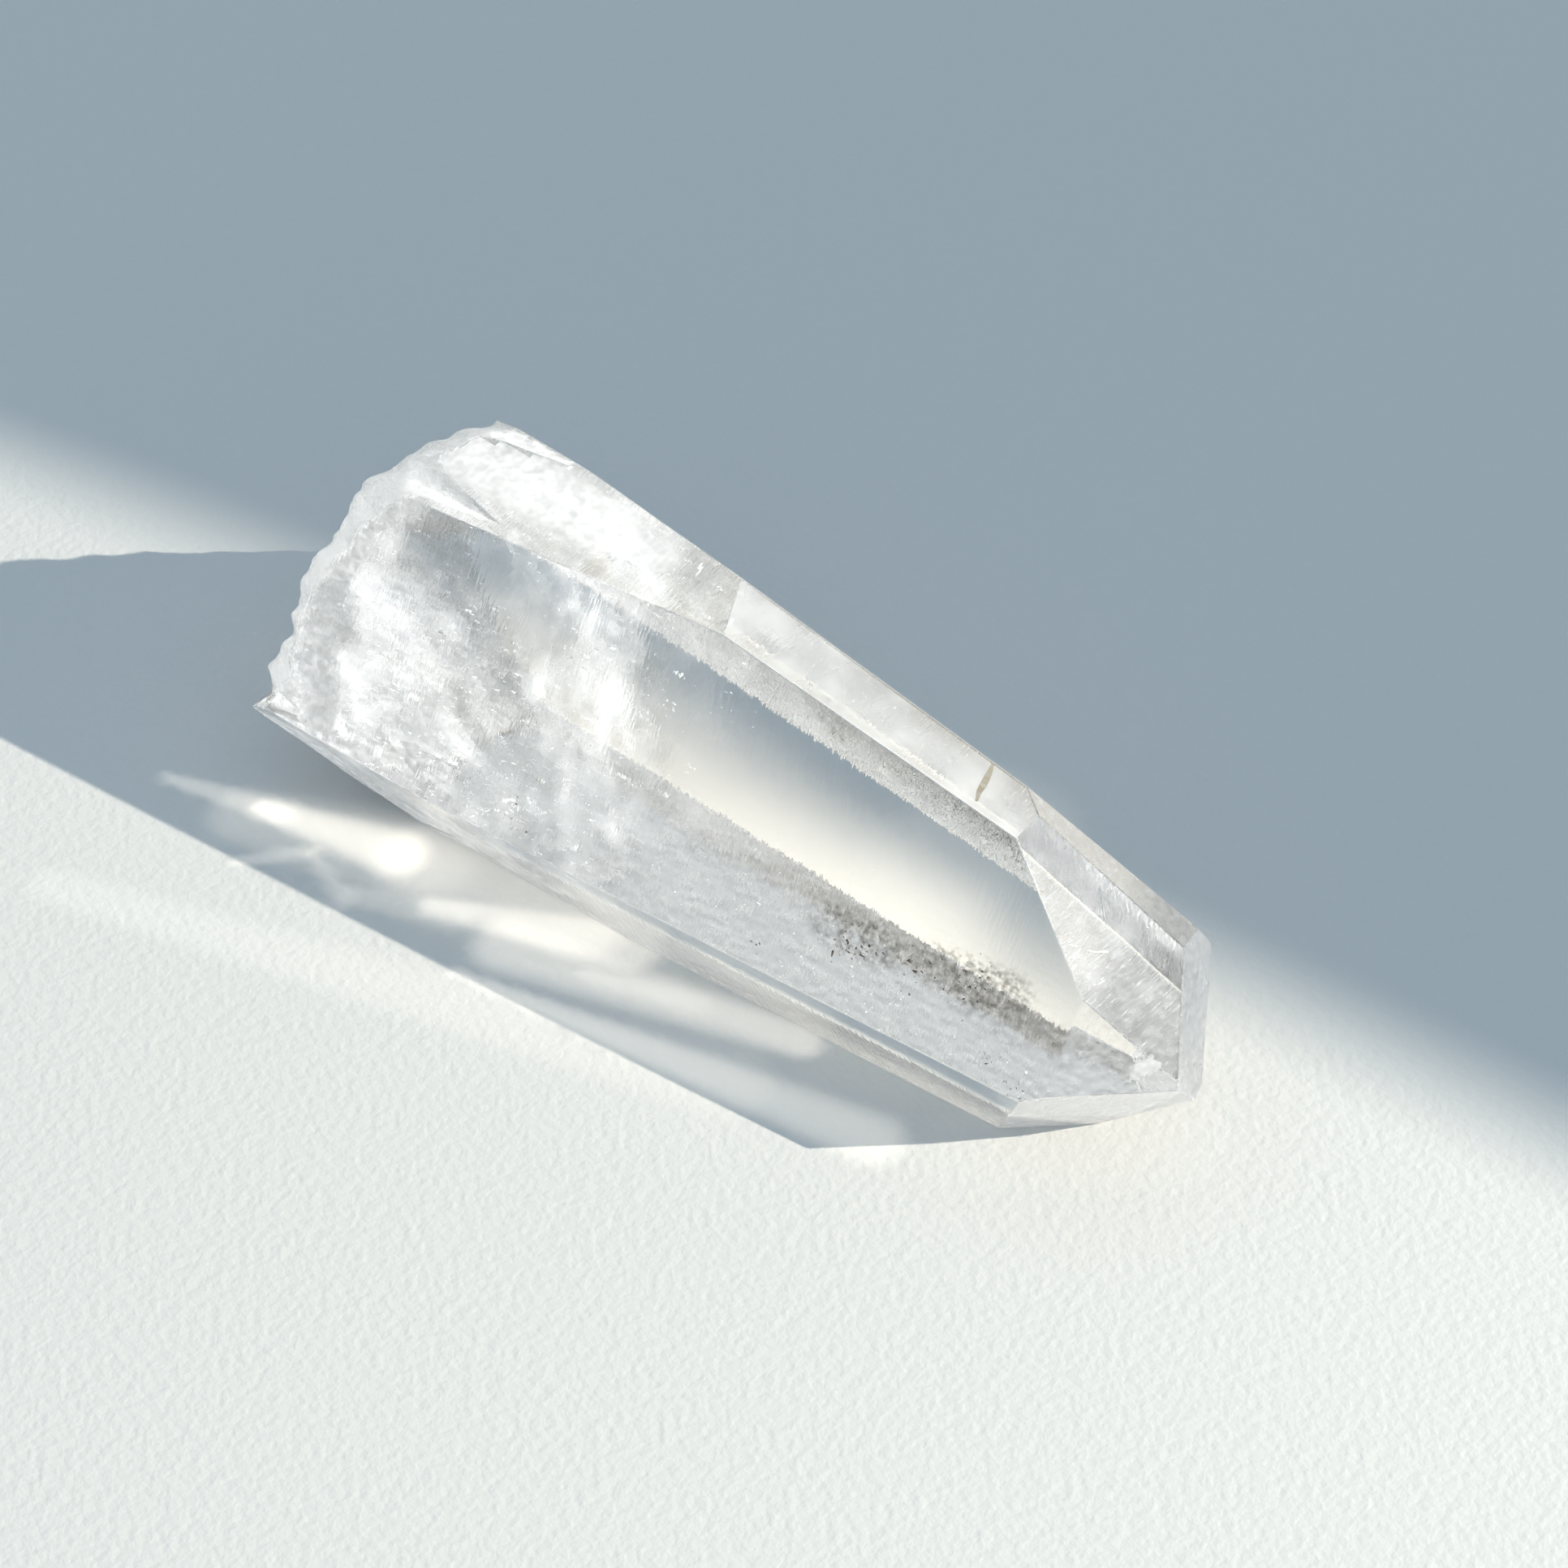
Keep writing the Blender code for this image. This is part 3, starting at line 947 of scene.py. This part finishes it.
def make_cloud(settings):
    """Milky cloud of the root half: thousands of healed cracks the size of a scratch."""
    shape = crystal_shape()
    rng = np.random.default_rng(41)

    def weight(points):
        """Share of tries that are kept: flakes crowd where the cloud is dense."""
        return milkiness(points, shape[0]) ** 1.5

    margin = CLOUD_MARGIN_MM * MM
    centres = scattered(rng, shape, CAD_BOX[0], CAD_BOX[1], settings.flake_count, weight, margin)
    count = len(centres)
    normals = np.array(FLAKE_NORMAL) + rng.normal(0.0, 0.4, (count, 3))
    long_axis = np.array(FLAKE_RUN) + rng.normal(0.0, 0.3, (count, 3))
    length = settings.flake_size * np.exp(rng.normal(0.0, 0.6, count))
    width = length * rng.uniform(0.06, 0.28, count)
    cloud = flake_mesh(centres, normals, long_axis, length, width, 42, "milky_cloud")
    ride_and_slot(cloud, flake_material(settings.veil_colour, "healed_cracks"))
    return cloud


def seen_groups(groups, plane, rng):
    """Points scattered round the places that show at given pixels through a face."""
    points = [
        seen_through((x_px, y_px), plane, depth_mm) + rng.normal(0.0, spread_mm * MM / 2.0, (count, 3))
        for x_px, y_px, spread_mm, count, depth_mm in groups
    ]
    return np.vstack(points)


def make_flecks(settings):
    """Bright glints and a few dark specks where cracks face the light or turn away: painted
    highlights in white and painted shade in dark brown.
    """
    shape = crystal_shape()
    broad = face_towards(shape[0], BROAD_SIDE)
    rng = np.random.default_rng(77)
    for name, groups, size_mm, colour, finish in FLECKS:
        centres = seen_groups(groups, broad, rng)
        centres = centres[depth_inside(centres, shape) > 0.2 * MM]
        count = len(centres)
        normals = np.array([0.6, 0.1, 0.7]) + rng.normal(0.0, 0.5, (count, 3))
        length = size_mm * MM * np.exp(rng.normal(0.0, 0.4, count))
        flecks = flake_mesh(
            centres, normals, rng.normal(0.0, 1.0, (count, 3)), length, length * 0.5, 78, name,
        )
        ride_and_slot(flecks, flake_material(colour, finish))


def inside_sheet(grid, rows, columns, shape, margin, wanted=True):
    """The quads of a grid of points that lie inside the crystal, with their points."""
    quads = grid_faces(rows, columns)
    inside = (depth_inside(grid, shape) > margin) & wanted
    quads = quads[inside[quads].all(axis=1)]
    used, renumbered = np.unique(quads, return_inverse=True)
    return grid[used], renumbered.reshape(-1, 4)


def make_veils(settings):
    """Healing veils: thin wavy sheets that cross the root half of the crystal.

    A sheet is c + a u + b v + w h(a, b): a flat rectangle of sides u and v with waves
    h of lattice noise along its normal w; what reaches past the faces is cut away.
    """
    shape = crystal_shape()
    rng = np.random.default_rng(19)
    side = VEIL_GRID
    size = VEIL_SIDE_MM * MM
    a, b = np.meshgrid(np.linspace(-0.5, 0.5, side), np.linspace(-0.5, 0.5, side), indexing="ij")
    flat = np.stack([a, b], axis=-1) * size
    points = []
    faces = []
    start = 0
    for number, (x_mm, normal) in enumerate(VEILS):
        w = np.array(normal) / np.linalg.norm(normal)
        u = np.cross(w, [0.0, 1.0, 0.3])
        u /= np.linalg.norm(u)
        v = np.cross(w, u)
        h = settings.veil_wave * lattice_noise(flat, VEIL_WAVE_MM * MM, 100 + number)
        h = h + 0.25 * settings.veil_wave * lattice_noise(flat, VEIL_RIPPLE_MM * MM, 200 + number)
        y_mm = rng.uniform(-VEIL_SPREAD_MM, VEIL_SPREAD_MM)
        z_mm = VEIL_MIDDLE_MM + rng.uniform(-VEIL_SPREAD_MM, VEIL_SPREAD_MM)
        centre = np.array([x_mm, y_mm, z_mm]) * MM
        grid = (centre + flat[..., :1] * u + flat[..., 1:] * v + h[..., None] * w).reshape(-1, 3)
        milk = milkiness(grid, shape[0])
        used, quads = inside_sheet(grid, side, side, shape, 0.4 * MM, milk > LEAST_MILK)
        points.append(used)
        faces.append(quads + start)
        start += len(used)
    veils = mesh_object("healing_veils", np.vstack(points), np.vstack(faces))
    set_milk(veils, milkiness(np.vstack(points), shape[0]))
    ride_and_slot(veils, milky_veil_material(settings.veil_colour, "healing_veil", 0.05, 0.66, 3.0))
    return veils


def set_milk(piece, values):
    """Keeps each point's share of milkiness on the mesh, for its material."""
    milk = piece.data.attributes.new("milk", "FLOAT", "POINT")
    milk.data.foreach_set("value", np.asarray(values, dtype=np.float32))


def make_root_frost(settings):
    """Crushed skin just under the broken root: the root's own surface moved inwards."""
    shape = crystal_shape()
    planes, low, heights = shape
    x, y, z = root_surface(low, heights, 3, 0.10 * MM)
    grid = np.stack([x + FROST_DEPTH_MM * MM, y, z], axis=-1).reshape(-1, 3)
    used, quads = inside_sheet(grid, *x.shape, (planes, low, heights - 5.0 * MM), 0.08 * MM)
    frost = mesh_object("root_frost", used, quads)
    set_milk(frost, 0.5 + 0.5 * milkiness(used, planes))
    ride_and_slot(frost, milky_veil_material(settings.veil_colour, "crushed_root_skin", 0.35, 0.95, 0.8))
    return frost


def make_haze(settings):
    """Fine haze just under the top face, the face of the point and the lowest face: partly fine
    etching, partly a painted sheen that brightens these faces.

    The growth faces are moved inwards by the haze's depth, and the faces of the solid
    between them that look the right way are the sheets."""
    planes = growth_planes(node_triangles(NODE))
    moved = planes.copy()
    moved[:, 3] -= HAZE_DEPTH_MM * MM
    root_side = np.array([[-1.0, 0.0, 0.0, -HAZE_START_MM * MM]])
    corners, faces = convex_solid(np.vstack([moved, root_side]))
    firsts = np.array([face[:3] for face in faces])
    a, b, c = corners[firsts[:, 0]], corners[firsts[:, 1]], corners[firsts[:, 2]]
    normals = np.cross(b - a, c - a)
    normals /= np.linalg.norm(normals, axis=1, keepdims=True)
    for name, direction, thin, thick, patch_mm in HAZES:
        wanted = face_towards(planes, direction)[:3]
        face = faces[int(np.argmax(normals @ wanted))]
        haze = mesh_object(name, corners[face], [list(range(len(face)))])
        set_milk(haze, np.ones(len(face)))
        ride_and_slot(haze, milky_veil_material(
            settings.veil_colour, "etching_and_painted_sheen_" + name, thin, thick, patch_mm, fades=True,
        ))


def falloff(share):
    """1 in the middle and 0 from the radius on: t^2 (3 - 2t) with t = 1 - (distance/radius)^2."""
    t = np.clip(1.0 - share**2, 0.0, 1.0)
    return t * t * (3.0 - 2.0 * t)


def strokes_at(points, strokes):
    """Sum of strokes at points: share x falloff(d/r), with d the distance to the segment
    and r going evenly from its first to its last radius."""
    total = np.zeros(points.shape[:-1])
    for first, last, first_radius, last_radius, share in strokes:
        run = last - first
        t = np.clip((points - first) @ run / max(run @ run, 1e-12), 0.0, 1.0)
        away = np.linalg.norm(points - first - t[..., None] * run, axis=-1)
        total += share * falloff(away / (first_radius + t * (last_radius - first_radius)))
    return total


def make_patches(settings):
    """White patches and dark grains: flat sheets just under a face. The rim's patch is crowded
    cracks; the others paint a highlight at the root, a reflection in the point and shade along
    the fringe.

    A sheet is a grid in the face's plane, c + a u + b v, and keeps the quads that its
    strokes cover; the strokes are read on the face."""
    shape = crystal_shape()
    for name, face, depth_mm, colour, thin, thick, grain_mm, strokes_px in PATCHES:
        plane = face_towards(shape[0], face)
        strokes = [
            (seen_through((x0, y0), plane, depth_mm), seen_through((x1, y1), plane, depth_mm),
             r0_mm * MM, r1_mm * MM, share)
            for x0, y0, x1, y1, r0_mm, r1_mm, share in strokes_px
        ]
        ends = np.array([end for stroke in strokes for end in stroke[:2]])
        middle = ends.mean(axis=0)
        u = np.array([1.0, 0.0, 0.0]) - plane[0] * plane[:3]
        u /= np.linalg.norm(u)
        v = np.cross(plane[:3], u)
        reach = max(max(stroke[2:4]) for stroke in strokes)
        a = (ends - middle) @ u
        b = (ends - middle) @ v
        rows = int((np.ptp(a) + 2.0 * reach) / (PATCH_CELL_MM * MM)) + 2
        columns = int((np.ptp(b) + 2.0 * reach) / (PATCH_CELL_MM * MM)) + 2
        i, j = np.meshgrid(
            np.linspace(a.min() - reach, a.max() + reach, rows),
            np.linspace(b.min() - reach, b.max() + reach, columns), indexing="ij",
        )
        grid = (middle + i[..., None] * u + j[..., None] * v).reshape(-1, 3)
        cover = np.minimum(strokes_at(grid, strokes), 1.0)
        used, quads = inside_sheet(grid, rows, columns, shape, 0.1 * MM, cover > 0.01)
        patch = mesh_object(name, used, quads)
        set_milk(patch, np.minimum(strokes_at(used, strokes), 1.0))
        ride_and_slot(patch, milky_veil_material(colour, name + "_grains", thin, thick, grain_mm))


def make_streaks(settings):
    """Long thin cracks: pale striae in the point and bright slivers near the root."""
    planes = growth_planes(node_triangles(NODE))
    first = []
    last = []
    for face, depth_mm, x0, y0, x1, y1 in STREAKS_PX:
        plane = face_towards(planes, face)
        first.append(seen_through((x0, y0), plane, depth_mm))
        last.append(seen_through((x1, y1), plane, depth_mm))
    first = np.array(first)
    run = np.array(last) - first
    length = np.linalg.norm(run, axis=1)
    normals = np.tile([0.3, 0.1, 0.9], (len(length), 1))
    streaks = flake_mesh(
        first + run / 2.0, normals, run, length, np.full(len(length), STREAK_WIDTH_MM * MM), 55,
        "long_cracks",
    )
    set_milk(streaks, np.ones(9 * len(length)))
    ride_and_slot(streaks, milky_veil_material(settings.veil_colour, "long_bright_cracks", 0.3, 0.8, 0.8))
    return streaks


def make_stain(settings):
    """Tan streak of iron stain just under the top face: a thin wavy ribbon.

    Its middle line runs straight between two points p and q that are read on the top
    face, p + t (q - p), and its half width is w (0.35 + 0.65 sin(pi t)).
    """
    planes = growth_planes(node_triangles(NODE))
    top = face_towards(planes, TOP_FACE)
    first = seen_through(STAIN_TOP_PX, top, STAIN_DEPTH_MM)
    last = seen_through(STAIN_BOTTOM_PX, top, STAIN_DEPTH_MM)
    steps = 24
    t = np.linspace(0.0, 1.0, steps)[:, None]
    run = last - first
    side = np.cross(run, top[:3])
    side /= np.linalg.norm(side)
    half = STAIN_HALF_WIDTH_MM * MM * (0.35 + 0.65 * np.sin(np.pi * t))
    wander = STAIN_WANDER_MM * MM * lattice_noise(t * 4.0, 1.0, 9)[:, None]
    middle = first + t * run + wander * side
    points = np.concatenate([middle - half * side, middle + half * side])
    i = np.arange(steps - 1)
    quads = np.stack([i, i + steps, i + steps + 1, i + 1], axis=1)
    stain = mesh_object("iron_stain", points, quads)
    set_milk(stain, np.ones(len(points)))
    ride_and_slot(stain, milky_veil_material(settings.stain_colour, "iron_oxide_stain", 0.55, 0.95, 0.8))
    return stain


def key_lamp(name, power, colour):
    """The key light: a soft spot whose cone just touches the plane through the lamp and
    the light's edge on the floor, so the far floor stays in soft shade."""
    towards_light = Vector(LIGHT_DIRECTION).normalized()
    edge_middle = Vector(LIGHT_EDGE_MIDDLE_MM) * MM
    edge_run = Vector(LIGHT_EDGE_RUN).normalized()
    to_lit_side = edge_run.cross(towards_light).normalized()
    half_cone = math.radians(LIGHT_CONE_DEG) / 2.0
    beam = math.cos(half_cone) * -towards_light + math.sin(half_cone) * to_lit_side
    lamp = bpy.data.lights.new(name, "SPOT")
    lamp.energy = power
    lamp.spot_size = math.radians(LIGHT_CONE_DEG)
    lamp.spot_blend = LIGHT_EDGE_BLEND
    lamp.shadow_soft_size = LIGHT_RADIUS_M
    lamp.color = colour
    key = bpy.data.objects.new(name, lamp)
    key.location = edge_middle + towards_light * LIGHT_DISTANCE_M
    key.rotation_euler = (-beam).to_track_quat("Z", "Y").to_euler()
    bpy.context.scene.collection.objects.link(key)
    return key


def collection_of(name, pieces):
    """A collection of the named pieces, for a lamp that lights only them."""
    held = bpy.data.collections.new(name)
    for piece in pieces:
        if piece in bpy.data.objects:
            held.objects.link(bpy.data.objects[piece])
    return held


def make_floor(settings):
    """Plain pale floor: a grid, fine near the crystal, whose points keep how much painted caustic
    light it glows with there, where the crystal would gather light: the sum of the strokes."""
    strokes = [
        (floor_point(x0, y0), floor_point(x1, y1), r0_mm * MM, r1_mm * MM, share)
        for x0, y0, x1, y1, r0_mm, r1_mm, share in PAINTED_CAUSTIC_STROKES_PX
    ]
    spots = [
        (np.array([x0_mm, y0_mm, 0.0]) * MM, np.array([x1_mm, y1_mm, 0.0]) * MM,
         r0_mm * MM, r1_mm * MM, share)
        for x0_mm, y0_mm, x1_mm, y1_mm, r0_mm, r1_mm, share in PAINTED_CAUSTICS_MM
    ]
    far = FLOOR_SIDE_M / 2.0
    near = np.arange(-FLOOR_FINE_MM, FLOOR_FINE_MM + FLOOR_CELL_MM, FLOOR_CELL_MM) * MM
    lines = np.concatenate([[-far], near, [far]])
    x, y = np.meshgrid(lines, lines, indexing="ij")
    grid = np.stack([x, y, np.zeros_like(x)], axis=-1).reshape(-1, 3)
    painted_caustics = strokes_at(grid, strokes + spots)
    floor = mesh_object(
        "floor", grid - np.array([0.0, 0.0, FLOOR_GAP_MM * MM]), grid_faces(len(lines), len(lines)),
    )
    glow = floor.data.attributes.new("painted_caustics", "FLOAT", "POINT")
    glow.data.foreach_set("value", painted_caustics.astype(np.float32))
    material, tree = new_material("matt_board_with_painted_caustics")
    place = add(tree, "TexCoord").outputs["Object"]
    grain = add(tree, "TexNoise", Vector=place, Scale=1 / (FLOOR_GRAIN_MM * MM), Detail=2.0, Roughness=0.5)
    bump = add(tree, "Bump", Strength=0.8, Distance=FLOOR_GRAIN_HEIGHT_MM * MM, Height=grain.outputs[0])
    caustic_glow = add(tree, "Attribute", {"attribute_name": "painted_caustics"}).outputs["Fac"]
    caustic_glow = add(tree, "Math", {"operation": "MULTIPLY"}, i0=caustic_glow, i1=PAINTED_CAUSTIC_LEVEL)
    # The floor glows with the painted caustic light: emission on the floor, not a lamp
    shader = add(
        tree, "BsdfPrincipled", Base_Color=linear(settings.floor_colour), Roughness=0.6,
        Normal=bump.outputs[0], Emission_Color=(*KEY_COLOUR, 1.0), Emission_Strength=caustic_glow.outputs[0],
    )
    finish_material(tree, shader.outputs[0])
    material.cycles.emission_sampling = "NONE"
    floor.data.materials.append(material)


def make_shade(settings):
    """Soft shade from all sides, with a dim wall along the horizon, and how light is traced."""
    world = bpy.data.worlds.new("shade fill")
    bpy.context.scene.world = world
    world.use_nodes = True
    background = world.node_tree.nodes["Background"]
    sky = world.node_tree
    outlook = sky.nodes.new("ShaderNodeTexCoord")
    height = add(sky, "SeparateXYZ", Vector=outlook.outputs["Generated"])
    rise = add(sky, "MapRange", Value=height.outputs["Z"], From_Min=WALL_TOP, From_Max=SHADE_START)
    fill = add(
        sky, "MixRGB", Fac=rise.outputs[0],
        Color1=linear(settings.horizon_colour), Color2=linear(settings.shade_colour),
    )
    sky.links.new(fill.outputs[0], background.inputs["Color"])
    background.inputs["Strength"].default_value = 1.0
    bpy.context.scene.view_settings.view_transform = "Standard"
    cycles = bpy.context.scene.cycles
    cycles.use_light_tree = False
    cycles.max_bounces = 10
    cycles.diffuse_bounces = 1
    cycles.glossy_bounces = 4
    cycles.transmission_bounces = 10
    cycles.transparent_max_bounces = 24


def make_lamps(settings):
    """The key light, and two lamps that light only the pieces inside the crystal, where a
    lamp's light doesn't reach through its faces."""
    key_lamp("key", settings.key_power, KEY_COLOUR)
    through = key_lamp("key_through_crystal", settings.key_power * THROUGH_SHARE, THROUGH_COLOUR)
    through.light_linking.receiver_collection = collection_of("inner pieces", INNER_PIECES)
    through.data.use_shadow = False
    scatter = bpy.data.objects.new("root_scatter", bpy.data.lights.new("root_scatter", "SUN"))
    scatter.data.energy = ROOT_SCATTER
    scatter.data.use_shadow = False
    scatter.rotation_euler = Vector(ROOT_SCATTER_DIRECTION).to_track_quat("Z", "Y").to_euler()
    scatter.light_linking.receiver_collection = collection_of("root skin", ROOT_SKIN_PIECES)
    bpy.context.scene.collection.objects.link(scatter)


def make_cards(settings):
    """White cards that the crystal's faces mirror, and that nothing else sees."""
    for number, (direction, width, height, radiance) in enumerate(CARDS):
        card = bpy.data.lights.new(f"white_card_{number}", "AREA")
        card.shape = "RECTANGLE"
        card.size = width
        card.size_y = height
        card.energy = math.pi * width * height * radiance * settings.card_share
        card.color = CARD_COLOUR
        card_object = bpy.data.objects.new(card.name, card)
        card_object.location = Vector(direction).normalized() * CARD_DISTANCE_M
        card_object.rotation_euler = Vector(direction).to_track_quat("Z", "Y").to_euler()
        card_object.visible_camera = False
        card_object.visible_diffuse = False
        bpy.context.scene.collection.objects.link(card_object)


def make_camera():
    """The camera, at the solved direction and distance from its target."""
    back = Vector(camera_axes()[2])
    camera_data = bpy.data.cameras.new("camera")
    camera_data.sensor_width = SENSOR_MM
    camera_data.lens = SENSOR_MM * FOCAL_PX / IMAGE_SIDE_PX
    camera_data.clip_start = 1.0 * MM
    camera = bpy.data.objects.new("camera", camera_data)
    camera.location = Vector(VIEW_TARGET_MM) * MM + back * VIEW_DISTANCE_MM * MM
    camera.rotation_euler = back.to_track_quat("Z", "Y").to_euler()
    bpy.context.scene.collection.objects.link(camera)
    bpy.context.scene.camera = camera


def make_stage(settings):
    """Floor, shade, lamps, cards and camera."""
    make_floor(settings)
    make_shade(settings)
    make_lamps(settings)
    make_cards(settings)
    make_camera()


# Operators and panel
class QUARTZ_OT_crystal(bpy.types.Operator):
    """Makes the crystal's body with its worn edges and broken root"""

    bl_idname = "quartz.crystal"
    bl_label = "Crystal body"

    def execute(self, context):
        make_crystal(context.scene.quartz_crystal)
        return {"FINISHED"}


class QUARTZ_OT_cloud(bpy.types.Operator):
    """Makes the milky cloud of healed cracks in the root half"""

    bl_idname = "quartz.cloud"
    bl_label = "Milky cloud"

    def execute(self, context):
        make_cloud(context.scene.quartz_veils)
        return {"FINISHED"}


class QUARTZ_OT_flecks(bpy.types.Operator):
    """Makes the bright glints and the dark specks inside, painted highlights and painted shade"""

    bl_idname = "quartz.flecks"
    bl_label = "Glints and specks"

    def execute(self, context):
        make_flecks(context.scene.quartz_veils)
        return {"FINISHED"}


class QUARTZ_OT_veils(bpy.types.Operator):
    """Makes the wavy healing veils that cross the root half"""

    bl_idname = "quartz.veils"
    bl_label = "Healing veils"

    def execute(self, context):
        make_veils(context.scene.quartz_veils)
        return {"FINISHED"}


class QUARTZ_OT_frost(bpy.types.Operator):
    """Makes the crushed skin under the broken root"""

    bl_idname = "quartz.frost"
    bl_label = "Root frost"

    def execute(self, context):
        make_root_frost(context.scene.quartz_veils)
        return {"FINISHED"}


class QUARTZ_OT_haze(bpy.types.Operator):
    """Makes the fine haze under the top face and the point, partly etching and partly painted sheen"""

    bl_idname = "quartz.haze"
    bl_label = "Face haze"

    def execute(self, context):
        make_haze(context.scene.quartz_veils)
        return {"FINISHED"}


class QUARTZ_OT_patches(bpy.types.Operator):
    """Makes the white patches and the dark grains just under the faces, most of them painted highlight,
    reflection and shade
    """

    bl_idname = "quartz.patches"
    bl_label = "Patches"

    def execute(self, context):
        make_patches(context.scene.quartz_veils)
        return {"FINISHED"}


class QUARTZ_OT_streaks(bpy.types.Operator):
    """Makes the long thin cracks in the point and near the root"""

    bl_idname = "quartz.streaks"
    bl_label = "Long cracks"

    def execute(self, context):
        make_streaks(context.scene.quartz_veils)
        return {"FINISHED"}


class QUARTZ_OT_stain(bpy.types.Operator):
    """Makes the tan streak under the top face"""

    bl_idname = "quartz.stain"
    bl_label = "Iron stain"

    def execute(self, context):
        make_stain(context.scene.quartz_veils)
        return {"FINISHED"}


class QUARTZ_OT_stage(bpy.types.Operator):
    """Makes the floor, the lights and the camera"""

    bl_idname = "quartz.stage"
    bl_label = "Stage"

    def execute(self, context):
        make_stage(context.scene.quartz_stage)
        return {"FINISHED"}


class QUARTZ_PT_panel(bpy.types.Panel):
    """Lists the quartz point's operators and settings"""

    bl_idname = "QUARTZ_PT_panel"
    bl_label = "Clear quartz point"
    bl_space_type = "VIEW_3D"
    bl_region_type = "UI"
    bl_category = "Quartz"

    def draw(self, context):
        for group in (context.scene.quartz_crystal, context.scene.quartz_veils, context.scene.quartz_stage):
            for name in group.__annotations__:
                self.layout.prop(group, name)
        for operator in OPERATORS:
            self.layout.operator(operator.bl_idname)


GROUPS = (QuartzCrystalSettings, QuartzVeilSettings, QuartzStageSettings)
OPERATORS = (
    QUARTZ_OT_crystal, QUARTZ_OT_cloud, QUARTZ_OT_flecks, QUARTZ_OT_veils, QUARTZ_OT_frost,
    QUARTZ_OT_haze, QUARTZ_OT_patches, QUARTZ_OT_streaks, QUARTZ_OT_stain, QUARTZ_OT_stage,
)
CLASSES = (*GROUPS, *OPERATORS, QUARTZ_PT_panel)


def register():
    """Registers the classes and gives every scene the crystal's settings."""
    for cls in CLASSES:
        bpy.utils.register_class(cls)
    bpy.types.Scene.quartz_crystal = PointerProperty(type=QuartzCrystalSettings)
    bpy.types.Scene.quartz_veils = PointerProperty(type=QuartzVeilSettings)
    bpy.types.Scene.quartz_stage = PointerProperty(type=QuartzStageSettings)


def unregister():
    """Takes back what register did."""
    del bpy.types.Scene.quartz_stage
    del bpy.types.Scene.quartz_veils
    del bpy.types.Scene.quartz_crystal
    for cls in reversed(CLASSES):
        bpy.utils.unregister_class(cls)


def main():
    """Makes everything in order."""
    register()
    bpy.ops.quartz.crystal()
    bpy.ops.quartz.cloud()
    bpy.ops.quartz.flecks()
    bpy.ops.quartz.veils()
    bpy.ops.quartz.frost()
    bpy.ops.quartz.haze()
    bpy.ops.quartz.patches()
    bpy.ops.quartz.streaks()
    bpy.ops.quartz.stain()
    bpy.ops.quartz.stage()


if __name__ == "__main__":
    main()
